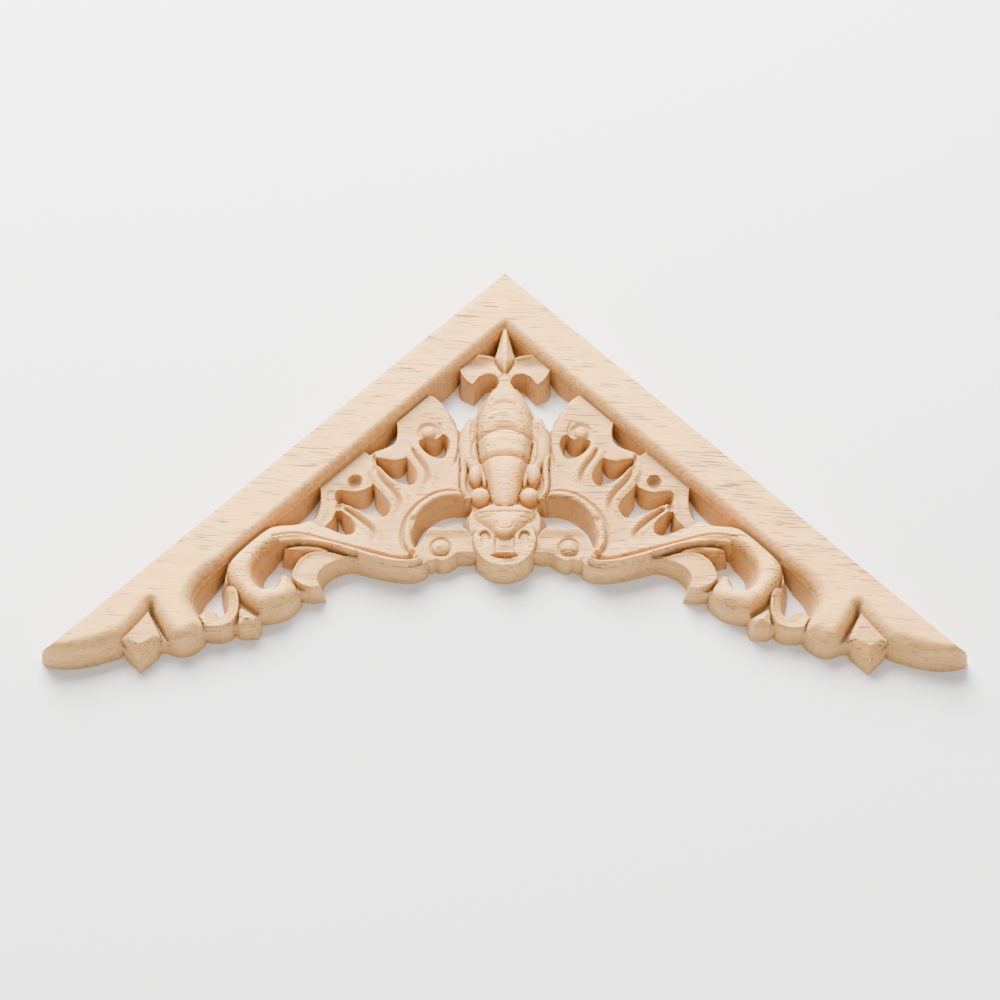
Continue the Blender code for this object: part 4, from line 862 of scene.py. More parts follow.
@dataclass
class Rails(Layer):
    """The flat rails with their rounded inner edges, their lobes and the diamond leaf."""

    lobe: Path = (rail_edge(89.6),) + LOBE_ABOVE + ((93.9, -105.8), (92.6, -108.2)) + LOBE_BELOW + (
        (104.4, -110.8), (106.6, -107.2), (108.8, -103.4),
    )
    tip: Path = (
        (108.8, -103.4), (111.0, -106.6), (113.8, -110.4), (117.2, -114.0), (122.8, -116.2),
        (127.2, -117.6), (132.0, -118.5), (135.4, -118.6), (138.6, -118.3), (141.1, -118.0),
        (150.0, -117.6)
    )
    rounding: Pair = (3.0, 4.0)
    lobe_start: float = 88.0
    lobe_rounding: Pair = (4.0, 4.8)
    tip_start: float = 128.0
    tip_round: float = 2.6
    tip_drop: float = 4.2
    tip_end: Pair = (137.6, 141.9)
    tool_reach: float = 0.6
    edge_slack: float = 0.25
    below_level: float = 6.2
    below_start: float = 99.0
    notch: Spot = ((109.0, -101.9), (1.3, 1.7), 1.1)
    diamond: Path = ((109.6, -103.6), (105.2, -112.6), (111.7, -120.2), (117.2, -113.3))
    diamond_levels: Pair = (8.7, 9.8)
    diamond_slope: float = 0.7
    diamond_drop: float = 2.6

    def carve(self, relief: Relief) -> None:
        """Lay the rails over the carving's edge."""
        x = relief.x
        curves = np.vstack([spline(self.lobe, 1.0), spline(self.tip, 1.0)[1:]])
        edge = np.vstack([[(-100.0, -100.0), (0.0, 0.0)], curves, [(150.0, 200.0), (-100.0, 200.0)]])
        depth = depth_inside(x, relief.y, edge, 400.0)
        lobe = ease(x, self.lobe_start, self.lobe_start + 6.0)
        width, fall = (plain + (at_lobe - plain) * lobe
                       for plain, at_lobe in zip(self.rounding, self.lobe_rounding))
        width = width + (self.tip_round - width) * ease(x, self.tip_start, self.tip_start + 10.0)
        start, end = self.tip_end
        flat = TOP - round_over(np.maximum(depth, 0.0), width, fall)
        flat = flat - self.tip_drop * np.clip((x - start) / (end - start), 0.0, 1.0) ** 2
        on_rail = depth > -self.edge_slack
        relief.z = np.where(on_rail, flat, relief.z)
        relief.ribs = np.where(on_rail, 0.0, relief.ribs)
        relief.shade = np.where(on_rail, 0.0, relief.shade)
        relief.tooled = np.where(on_rail, ease(width + self.tool_reach - depth, 0.0, 1.8), relief.tooled)
        relief.z = np.where(~on_rail & (x > self.below_start), self.below_level, relief.z)
        self.carve_diamond(relief)

    def carve_diamond(self, relief: Relief) -> None:
        """Lay the four-sided leaf in the notch between the lobes."""
        relief.dent(self.notch)
        facets = relief.inside(self.diamond)
        low, high = self.diamond_levels
        edge = low - self.diamond_drop * ease(-relief.y, 112.5, 119.5)
        leaf = np.minimum(edge + self.diamond_slope * facets, high)
        on_leaf = (facets > 0.0) & (leaf > relief.z)
        relief.z = np.where(on_leaf, leaf, relief.z)
        relief.tooled = np.where(on_leaf, 0.0, relief.tooled)


@dataclass
class Pattern:
    """The outline and the cut-outs of the right half, as smooth runs that meet at corners."""

    lower: Runs = (
        (outer_edge(134.0), (138.2, -116.7), (140.8, -117.0)),
        ((141.4, -117.2), (141.1, -117.7)),
        ((138.6, -118.2), (135.4, -118.5), (132.0, -118.4), (127.2, -117.6), (122.8, -116.2),
         (117.2, -114.5)),
        ((114.5, -117.1), (111.8, -119.7)),
        ((109.1, -117.2), (106.4, -113.8)),
        ((104.6, -113.2),) + LOBE_BELOW[::-1],
        ((90.4, -109.3), (87.4, -109.2), (85.2, -108.5), (83.4, -107.6)),
        ((80.6, -108.2), (77.0, -107.9)),
        ((76.4, -106.2), (75.5, -103.9)),
        ((73.4, -102.9), (70.6, -102.5), (68.0, -101.4), (65.6, -99.5), (64.2, -97.4), (63.6, -95.9)),
        ((60.6, -95.5), (57.4, -95.0)),
        ((58.2, -92.4), (57.7, -90.0), (55.4, -87.5), (52.0, -85.7), (48.6, -84.8), (45.0, -85.1),
         (40.6, -86.4), (35.6, -87.7), (31.4, -88.3), (28.0, -88.1), (25.4, -87.0)),
        ((24.2, -85.3), (23.0, -85.1), (21.4, -84.5), (19.8, -85.1), (18.2, -84.7), (16.4, -83.6),
         (14.8, -82.3), (12.4, -82.1), (9.0, -82.2)),
    )
    cut_outs: dict[str, Runs] = field(default_factory=lambda: {
        "beside the spike": (
            ((1.1, -1.1), rail_edge(9.2)),
            ((7.0, -9.7), (5.0, -10.0), (3.3, -10.8)),
            ((2.5, -7.5), (1.8, -4.2), (1.1, -1.1)),
        ),
        "between petal, body and upper ear": (
            ((2.0, -18.6), (3.0, -17.1), (4.8, -16.5), (6.9, -16.9), (8.8, -18.5), (10.5, -21.0)),
            ((12.1, -19.8), (13.8, -17.4), rail_edge(14.8)),
            (rail_edge(24.6),),
            ((22.4, -26.0), (20.8, -27.6), (19.4, -29.8), (18.3, -31.8), (17.5, -34.2), (15.9, -37.4)),
            ((13.3, -37.1),),
            ((12.4, -34.8), (11.0, -33.5), (9.7, -33.7), (8.6, -34.8)),
            ((7.9, -31.6), (6.9, -28.6), (5.6, -25.2), (4.1, -22.6), (2.5, -21.3), (1.8, -20.0),
             (2.0, -18.6)),
        ),
        "heart under the upper ear": (
            ((19.8, -39.4), (21.2, -40.3), (22.8, -41.0), (24.6, -41.0), (26.1, -40.7), (27.3, -41.5),
             (27.6, -43.2), (26.3, -45.4), (24.3, -47.3), (22.3, -48.3), (20.3, -48.6), (18.8, -47.6),
             (17.8, -45.3), (17.5, -42.8), (18.4, -40.4), (19.8, -39.4)),
        ),
        "between upper ear and rail": (
            (rail_edge(34.9), rail_edge(45.4)),
            ((44.3, -46.3), (43.4, -47.0)),
            ((40.4, -45.9), (37.8, -44.8), (35.8, -43.6), (34.7, -41.8), (34.3, -38.8), rail_edge(34.9)),
        ),
        "between first and second finger": (
            ((31.4, -48.1), (33.4, -48.9), (35.7, -49.2), (38.2, -48.7), (41.6, -48.1)),
            ((41.2, -50.0), (40.0, -51.9), (38.4, -53.9), (36.4, -55.9), (34.0, -57.6), (31.2, -58.5),
             (29.2, -58.3), (28.1, -57.1), (27.7, -55.2), (28.4, -52.7), (29.9, -50.3), (31.4, -48.1)),
        ),
        "between second and third finger": (
            ((41.9, -57.6), (43.3, -59.2), (45.3, -60.1), (48.3, -60.3), (51.0, -59.9), (52.8, -59.9),
             (53.8, -61.2), (53.8, -63.2), (53.0, -65.0)),
            ((51.4, -65.3), (47.6, -67.3), (45.0, -68.6), (42.3, -69.8), (40.0, -70.3), (37.8, -69.9),
             (36.4, -68.3), (35.9, -66.4), (36.6, -64.4), (38.2, -62.2), (40.3, -59.8), (41.9, -57.6)),
        ),
        "heart under the third finger": (
            ((52.2, -67.3), (50.1, -69.3), (48.5, -70.7), (47.2, -72.6), (46.7, -74.6), (47.2, -76.2),
             (48.6, -77.1), (50.3, -77.2), (52.4, -76.4), (54.6, -75.3), (56.9, -74.2)),
            ((56.1, -73.0), (54.8, -71.2), (53.9, -69.0), (53.3, -67.2)),
            ((52.2, -67.3),),
        ),
        "between lower ear and rail": (
            (rail_edge(58.6), rail_edge(73.6)),
            ((71.4, -73.4), (68.4, -73.1), (65.4, -72.8), (62.9, -72.5), (60.4, -71.2), (59.0, -69.6),
             (58.3, -67.0), (58.0, -64.4), (58.2, -61.4), rail_edge(58.6)),
        ),
        "inside the scroll": (
            ((68.6, -80.4),) + SCROLL_EYE[::-1] + ((69.4, -90.6),),
            ((67.8, -90.9), (66.2, -91.6)),
            ((65.7, -89.8), (65.0, -87.6), (63.8, -85.6), (62.2, -84.2)),
            ((64.6, -83.1), (66.8, -83.1), (68.5, -82.3), (68.9, -81.3), (68.6, -80.4)),
        ),
        "between scroll, hook and rail": (
            (rail_edge(86.0), rail_edge(89.6)),
            LOBE_ABOVE + ((94.3, -105.0),),
            ((92.6, -103.0), (91.2, -102.3), (89.9, -103.0), (89.2, -104.4), (87.9, -105.0), (86.4, -104.3),
             (85.4, -102.8), (85.2, -100.4), (85.6, -97.4), (86.3, -94.0), (86.7, -90.5), rail_edge(86.0)),
        ),
        "half moon beside the head": (
            ((10.6, -64.8), (12.4, -63.7), (14.6, -63.1), (17.6, -63.0), (20.1, -63.6), (22.7, -64.9),
             (25.2, -66.9), (27.2, -69.5), (28.5, -72.5), (29.2, -75.6), (29.2, -78.4), (28.2, -80.9)),
            ((26.7, -79.3), (25.5, -77.3), (24.6, -75.6), (23.2, -74.1), (21.8, -73.8), (20.1, -74.2),
             (18.7, -74.6), (17.3, -74.2), (15.9, -73.5), (14.4, -73.4), (12.8, -74.1), (11.3, -75.4),
             (10.5, -76.6)),
            ((11.0, -73.5), (11.1, -71.0), (10.6, -68.5), (10.2, -66.4), (10.6, -64.8)),
        ),
    })
    coin: Coin = field(default_factory=Coin)
    straight_step: float = 1.6
    long_side: float = 6.0
    coin_points: int = 32

    def join(self, runs: Runs, closed: bool) -> Array:
        """Chain smooth runs into one line of close points, each corner kept.

        Args:
            runs: Control points of each run.
            closed: Whether the last run leads back to the first.

        Returns:
            The points of the line.
        """
        line = []
        start = runs[-1][-1] if closed else None
        for run in runs:
            points = run if start is None or run[0] == start else (start,) + run
            is_long = len(points) == 2 and math.dist(*points) > self.long_side
            line.append(spline(points, self.straight_step if is_long else CURVE_STEP)[:-1])
            start = run[-1]
        if not closed:
            line.append(np.array([start], dtype=float))
        return np.vstack(line)

    def outline(self) -> Array:
        """Draw the half's edge.

        Returns:
            Its points, anticlockwise, from the foot of the coin to the outer corner.
        """
        rail = spline(((0.0, CORNER), self.lower[0][0]), self.straight_step)
        lower = self.join(self.lower, closed=False)
        across, up = lower[-1] - self.coin.centre
        arc = self.coin.edge(math.atan2(up, across), -0.5 * math.pi, self.coin_points)[1:]
        arc[-1, 0] = 0.0
        return np.vstack([rail[:-1], lower, arc])[::-1]

    def holes(self) -> list[Array]:
        """Draw the cut-outs.

        Returns:
            The points of each loop, clockwise, so that the wood lies on their left too.
        """
        loops = []
        for runs in self.cut_outs.values():
            loop = self.join(runs, closed=True)
            after = np.roll(loop, -1, axis=0)
            area = float(np.sum(loop[:, 0] * after[:, 1] - after[:, 0] * loop[:, 1]))
            loops.append(loop if area < 0.0 else loop[::-1])
        return loops


@dataclass
class Carving:
    """All the carver's work, layer by layer."""

    wing: Wing = field(default_factory=Wing)
    ears: Ears = field(default_factory=Ears)
    scroll: Scroll = field(default_factory=Scroll)
    panel: Panel = field(default_factory=Panel)
    arms: Arms = field(default_factory=Arms)
    coin: Coin = field(default_factory=Coin)
    body: Body = field(default_factory=Body)
    head: Head = field(default_factory=Head)
    fleur: Fleur = field(default_factory=Fleur)
    rails: Rails = field(default_factory=Rails)
    # painted shade: the carving is darker the lower it lies under the rails
    depth_shade: float = 0.56

    def creases(self) -> Array:
        """Find the lines along which the surface breaks sharply, for the facets to follow.

        Returns:
            Close points of all the lines.
        """
        lines = (
            (spline(self.wing.lip.path), (-1.7, -0.9, 0.0, 0.9)),
            (spline(self.scroll.leaf + self.scroll.leaf[:1]), (-0.35, 0.35)),
            (self.coin.edge(-0.3, 0.5 * math.pi, 60), (-0.25, 0.25)),
            (spline(self.head.brow), (-0.2, 0.2)),
            (spline(self.head.jaw), (-0.2, 0.2)),
            (spline(self.scroll.hook_rim.path), (-0.2, 0.2)),
        )
        return np.vstack([beside(line, gap) for line, gaps in lines for gap in gaps])

    def relief(self, places: Array) -> Relief:
        """Carve the top over some places.

        Args:
            places: Plan places as rows.

        Returns:
            The finished relief.
        """
        relief = Relief(places[:, 0].copy(), places[:, 1].copy())
        wing, scroll = self.wing, self.scroll
        for carve in (wing.carve, self.ears.carve, scroll.carve, wing.carve_lip, scroll.carve_leaf,
                      scroll.carve_hook_and_bud, self.panel.carve, self.arms.carve, self.coin.carve,
                      self.body.carve, self.head.carve, self.fleur.carve):
            carve(relief)
        # painted shade, deeper the lower the carving lies
        relief.darken(self.depth_shade * ease(11.9 - relief.z, 0.0, 3.0))
        self.rails.carve(relief)
        return relief


@dataclass
class TopGrid:
    """Places on the half's top, close where the carving is lively and far apart where it is flat."""

    step: float = 0.32
    levels: int = 3
    budget: int = 40500
    edge_gap: float = 0.30
    margin: float = 4.0
    tolerance: float = 0.01
    growth: float = 1.1
    narrow_hollows: tuple[int, float, float] = (2, 0.03, 0.45)
    wide_hollows: tuple[int, float, float] = (9, 0.15, 1.3)

    def spread(self, values: Array, reach: int) -> Array:
        """Carry each cell's highest value to the cells around it."""
        for axis in (0, 1):
            wide = values.copy()
            for shift in range(1, reach + 1):
                for way in (shift, -shift):
                    wide = np.maximum(wide, np.roll(values, way, axis=axis))
            values = wide
        return values

    def blurred(self, values: Array, reach: int) -> Array:
        """Average each cell with the cells around it, twice."""
        for _ in range(2):
            for axis in (0, 1):
                values = sum(np.roll(values, shift, axis=axis) for shift in range(-reach, reach + 1))
                values = values / (2 * reach + 1)
        return values

    def hollows(self, z: Array) -> Array:
        """Mark grooves and hollows, from 0 to 1, where the surface lies below its surroundings, for the shade
        painted into them.
        """
        return np.maximum(*(np.clip((self.blurred(z, reach) - z - least) / most, 0.0, 1.0)
                            for reach, least, most in (self.narrow_hollows, self.wide_hollows)))

    def thinned(self, z: Array, inside: Array, free: Array) -> Array:
        """Thin the grid out where its heights hardly bend, until it is within the budget.

        Args:
            z: Heights of the cells.
            inside: Cells that lie in the wood.
            free: Cells that may be kept.

        Returns:
            True for each cell to keep.
        """
        bend = np.zeros(z.shape)
        for axis in (0, 1):
            bend = np.maximum(bend, np.abs(np.roll(z, 1, axis) - 2.0 * z + np.roll(z, -1, axis)))
        bend = np.where(inside, bend, 0.0)
        strides = [2 ** level for level in range(self.levels + 1)]
        worst = [self.spread(bend, 2 * stride) for stride in strides[:-1]]
        tolerance = self.tolerance
        while True:
            kept = np.zeros(z.shape, dtype=bool)
            kept[::strides[-1], ::strides[-1]] = True
            for stride, most in zip(strides, worst):
                bow = most * (2.0 * stride) ** 2 / 8.0      # of the surface over a span of two strides
                lively = bow > tolerance
                kept[::stride, ::stride] |= lively[::stride, ::stride]
            kept &= free
            if kept.sum() <= self.budget:
                LOG.info("top: %d places, facets within %.3f mm", kept.sum(), tolerance)
                return kept
            tolerance *= self.growth

    def places(self, carving: Carving, edge: Array, holes: list[Array]) -> tuple[Array, Array]:
        """Choose the places, those of the nearest cells moved onto the creases.

        Args:
            carving: What is carved.
            edge: The half's outline.
            holes: The cut-outs' loops.

        Returns:
            The plan places, and how much each lies in a hollow, from 0 to 1.
        """
        columns = np.arange(0.0, edge[:, 0].max() + self.margin, self.step)
        rows = np.arange(edge[:, 1].min() - self.margin, edge[:, 1].max() + self.margin, self.step)
        shape = (len(columns), len(rows))
        x, y = (axis.ravel() for axis in np.meshgrid(columns, rows, indexing="ij"))
        grid = np.column_stack([x, y])
        z = carving.relief(grid).z.reshape(shape)
        inside = is_inside(x, y, edge)
        for hole in holes:
            inside &= ~is_inside(x, y, hole)
        clear = nearest(x, y, [edge] + holes) > self.edge_gap
        free = (inside & clear & (x > 0.5 * self.step)).reshape(shape)
        kept = self.thinned(z, inside.reshape(shape), free)
        creases = carving.creases()
        cells = np.rint((creases - (columns[0], rows[0])) / self.step).astype(int)
        cells, first = np.unique(cells, axis=0, return_index=True)
        usable = free[tuple(cells.T)]
        at_crease = tuple(cells[usable].T)
        kept[at_crease] = False
        hollow = self.hollows(z)
        return (np.vstack([grid[kept.ravel()], creases[first][usable]]),
                np.concatenate([hollow[kept], hollow[at_crease]]))


def triangulate(points: Array, loops: list[list[int]], join_gap: float = 1e-9,
                thinnest: float = 1e-6) -> Array:
    """Span triangles between points, inside the wood only.

    Args:
        points: Plan places.
        loops: Point numbers of the outer edge and then of each hole.
        join_gap: Points closer than this become one.
        thinnest: Triangles narrower than this share of their length are left out.

    Returns:
        Triangles as rows of point numbers, anticlockwise.
    """
    sides = []
    for loop in loops:
        sides.extend(zip(loop, loop[1:] + loop[:1]))
    whole_hull = 0
    found = delaunay_2d_cdt([Vector(point) for point in points], sides, [], whole_hull, join_gap, True)
    origin = [source[0] for source in found[3]]
    triangles = np.array([[origin[corner] for corner in face] for face in found[2]])
    middle = points[triangles].mean(axis=1)
    kept = is_inside(middle[:, 0], middle[:, 1], points[loops[0]])
    for hole in loops[1:]:
        kept &= ~is_inside(middle[:, 0], middle[:, 1], points[hole])
    a, b, c = (points[triangles[:, corner]] for corner in range(3))
    area = (b[:, 0] - a[:, 0]) * (c[:, 1] - a[:, 1]) - (c[:, 0] - a[:, 0]) * (b[:, 1] - a[:, 1])
    longest = np.max([np.sum((end - start) ** 2, axis=1) for start, end in ((b, a), (c, b), (a, c))], axis=0)
    kept &= np.abs(area) > thinnest * longest
    triangles[area < 0.0] = triangles[area < 0.0][:, ::-1]
    return triangles[kept]


def side_of(a: Array, b: Array, point: Array) -> float:
    """Tell by its sign on which side of the line from a to b a point lies."""
    return (b[0] - a[0]) * (point[1] - a[1]) - (b[1] - a[1]) * (point[0] - a[0])


@dataclass
class Walls:
    """The sloping walls between the carved top and the flat back."""

    outer_draft: float = math.radians(9.0)
    cut_draft: float = math.radians(18.5)
    room_share: float = 0.72
    least_ahead: float = 1e-5
    sharpest: float = 0.4
    steeper: float = 0.6
    smoothing: int = 6
    rows: tuple[float, ...] = (0.35, 0.7)
    # painted shade on each band of the walls, top to foot: the outer wall darker towards its foot, the
    # cut-outs' walls dark all the way
    outer_shade: tuple[float, ...] = (0.40, 0.55, 0.65)
    cut_shade: tuple[float, ...] = (0.85, 1.0, 1.0)

    def reach(self, rim: Array, before: Array, after: Array, draft: float,
              everything: Array) -> tuple[Array, Array, Array]:
        """Find which way each point of a wall's top leaves the wood, and how far out its foot lies.

        Args:
            rim: Points of the wall's top, with their heights.
            before: The plan place before each of them.
            after: The plan place after each of them.
            draft: Slope of the wall.
            everything: All edge points, which the foot keeps clear of.

        Returns:
            Directions, full distances and the share of them that there is room for.
        """
        line = rim[:, :2]
        first_out, second_out = (-leftward(unit(way)) for way in (line - before, after - line))
        facing = np.sum(first_out * second_out, axis=1)
        miter = (first_out + second_out) / np.maximum(1.0 + facing, self.sharpest)[:, None]
        direction = unit(miter)
        far = rim[:, 2] * math.tan(draft) * np.linalg.norm(miter, axis=1)
        share = np.ones(len(rim))
        for index, point in enumerate(line):
            way = everything - point
            ahead = way @ direction[index]
            seen = ahead > self.least_ahead
            if seen.any():
                room = np.min(np.sum(way[seen] ** 2, axis=1) / (2.0 * ahead[seen]))
                share[index] = min(1.0, self.room_share * room / far[index])
        return direction, far, share

    def smoothed(self, share: Array, closed: bool) -> Array:
        """Let a wall grow steeper little by little towards a place where it has little room."""
        for _ in range(self.smoothing):
            wide = np.pad(share, 1, mode="wrap" if closed else "edge")
            share = np.minimum(share, (wide[:-2] + wide[1:-1] + wide[2:]) / 3.0)
        return share

    def tangled(self, feet: list[Array]) -> Array:
        """Find the points of the foot loops whose sides cross each other.

        Args:
            feet: Plan places of each foot.

        Returns:
            True for each end of a side that crosses another, loop after loop.
        """
        starts = np.vstack(feet)
        ends = np.vstack([np.roll(foot, -1, axis=0) for foot in feet])
        offsets = np.concatenate([[0], np.cumsum([len(foot) for foot in feet])])
        following = np.concatenate([np.roll(np.arange(a, b), -1) for a, b in zip(offsets[:-1], offsets[1:])])
        found = np.zeros(len(starts), dtype=bool)
        middles = 0.5 * (starts + ends)
        sizes = 0.5 * np.linalg.norm(ends - starts, axis=1)
        for index, (a, b) in enumerate(zip(starts, ends)):
            near = np.nonzero(np.linalg.norm(middles - middles[index], axis=1) < sizes + sizes[index])[0]
            for other in near:
                c, d = starts[other], ends[other]
                corners = [index, following[index], other, following[other]]
                if (len(set(corners)) == len(corners) and side_of(a, b, c) * side_of(a, b, d) < 0.0
                        and side_of(c, d, a) * side_of(c, d, b) < 0.0):
                    found[corners] = True
        return found

    def feet(self, rims: list[Array], everything: Array) -> list[Array]:
        """Place the foot of every wall, steeper where the feet would cross at a tight corner.

        Args:
            rims: Points of each wall's top. The first is the outer one and ends on the middle line.
            everything: All edge points, which the feet keep clear of.

        Returns:
            Plan places of each foot.
        """
        ways = []
        for number, rim in enumerate(rims):
            line = rim[:, :2]
            before, after = np.roll(line, 1, axis=0), np.roll(line, -1, axis=0)
            if number == 0:
                before[0] = line[1] * (-1.0, 1.0)
                after[-1] = line[-2] * (-1.0, 1.0)
            draft = self.outer_draft if number == 0 else self.cut_draft
            direction, far, share = self.reach(rim, before, after, draft, everything)
            ways.append([direction, far, self.smoothed(share, number > 0)])
        while True:
            feet = [rim[:, :2] + direction * (far * share)[:, None]
                    for rim, (direction, far, share) in zip(rims, ways)]
            feet[0][[0, -1], 0] = 0.0
            tangled = self.tangled(feet)
            if not tangled.any():
                return feet
            start = 0
            for number, way in enumerate(ways):
                here = tangled[start:start + len(way[2])]
                way[2] = self.smoothed(np.where(here, self.steeper, 1.0) * way[2], number > 0)
                start += len(here)

    def spanned(self, rows: list[Array], closed: bool) -> Array:
        """Span two triangles between each pair of neighbours in rows that run from top to foot."""
        faces = []
        for upper, lower in zip(rows[:-1], rows[1:]):
            corners = (upper, np.roll(upper, -1), np.roll(lower, -1), lower)
            a, b, c, d = corners if closed else (corner[:-1] for corner in corners)
            faces.append(np.column_stack([b, a, d]))
            faces.append(np.column_stack([b, d, c]))
        return np.vstack(faces)

    def build(self, top: Array, loops: list[list[int]], feet: list[Array]) -> tuple[Array, ...]:
        """Build the walls and the flat back below the top.

        Args:
            top: Vertices of the top.
            loops: Vertex numbers along the top of each wall, the outer one first.
            feet: Plan places of each wall's foot.

        Returns:
            The new vertices, the walls' triangles, the painted shade of each of them and the back's
            triangles.
        """
        vertices, faces, face_shade, back_loops = [], [], [], []
        base = len(top)
        back_start = base + len(self.rows) * sum(len(loop) for loop in loops)
        count = 0
        for number, (loop, foot) in enumerate(zip(loops, feet)):
            foot = np.column_stack([foot, np.zeros(len(foot))])
            rows = [np.array(loop)]
            for share in self.rows:
                vertices.append(top[loop] * (1.0 - share) + foot * share)
                rows.append(np.arange(base, base + len(loop)))
                base += len(loop)
            back_loops.append(list(range(count, count + len(loop))))
            rows.append(np.array(back_loops[-1]) + back_start)
            count += len(loop)
            faces.append(self.spanned(rows, closed=number > 0))
            # painted shade on the wall's bands
            row_shades = self.cut_shade if number else self.outer_shade
            face_shade.append(np.repeat(row_shades, len(faces[-1]) // len(row_shades)))
        back = np.vstack(feet)
        vertices.append(np.column_stack([back, np.zeros(len(back))]))
        back_faces = triangulate(back, back_loops)[:, ::-1] + back_start
        return np.vstack(vertices), np.vstack(faces), np.concatenate(face_shade), back_faces


@dataclass
class Nodes:
    """A node tree, and short ways to add nodes to it."""

    tree: bpy.types.NodeTree

    def add(self, kind: str, inputs: dict[str | int, Value],
            **settings: str | bpy.types.NodeTree) -> bpy.types.Node:
        """Add a node.

        Args:
            kind: Its type.
            inputs: A value or a socket for its inputs, by their name or number.
            settings: Its other properties.

        Returns:
            The node.
        """
        node = self.tree.nodes.new(kind)
        for name, value in settings.items():
            setattr(node, name, value)
        for name, value in inputs.items():
            if isinstance(value, Socket):
                self.tree.links.new(value, node.inputs[name])
            else:
                node.inputs[name].default_value = value
        return node

    def noise(self, vector: Socket, scale: Triple, detail: float, roughness: float) -> Socket:
        """Add a noise that is stretched by a scale for each axis, and return its value."""
        place = self.add("ShaderNodeMapping", {"Vector": vector, "Scale": scale}).outputs["Vector"]
        inputs = {"Vector": place, "Scale": 1.0, "Detail": detail, "Roughness": roughness}
        return self.add("ShaderNodeTexNoise", inputs).outputs["Fac"]

    def span(self, value: Socket, low: float, high: float) -> Socket:
        """Stretch a value so that low becomes 0 and high becomes 1, softly."""
        inputs = {"Value": value, "From Min": low, "From Max": high}
        return self.add("ShaderNodeMapRange", inputs, interpolation_type="SMOOTHSTEP").outputs["Result"]

    def combine(self, operation: str, *values: float | Socket) -> Socket:
        """Put numbers and values together by one operation."""
        return self.add("ShaderNodeMath", dict(enumerate(values)), operation=operation).outputs[0]

    def times(self, *factors: float | Socket) -> Socket:
        """Multiply numbers and values, from left to right."""
        product, *others = factors
        for factor in others:
            product = self.combine("MULTIPLY", product, factor)
        return product

    def tint(self, share: Socket, under: Value, over: Triple) -> Socket:
        """Mix a colour over another by a share."""
        inputs = {"Factor": share, 6: under, 7: over + (1.0,)}
        return self.add("ShaderNodeMix", inputs, data_type="RGBA").outputs[2]


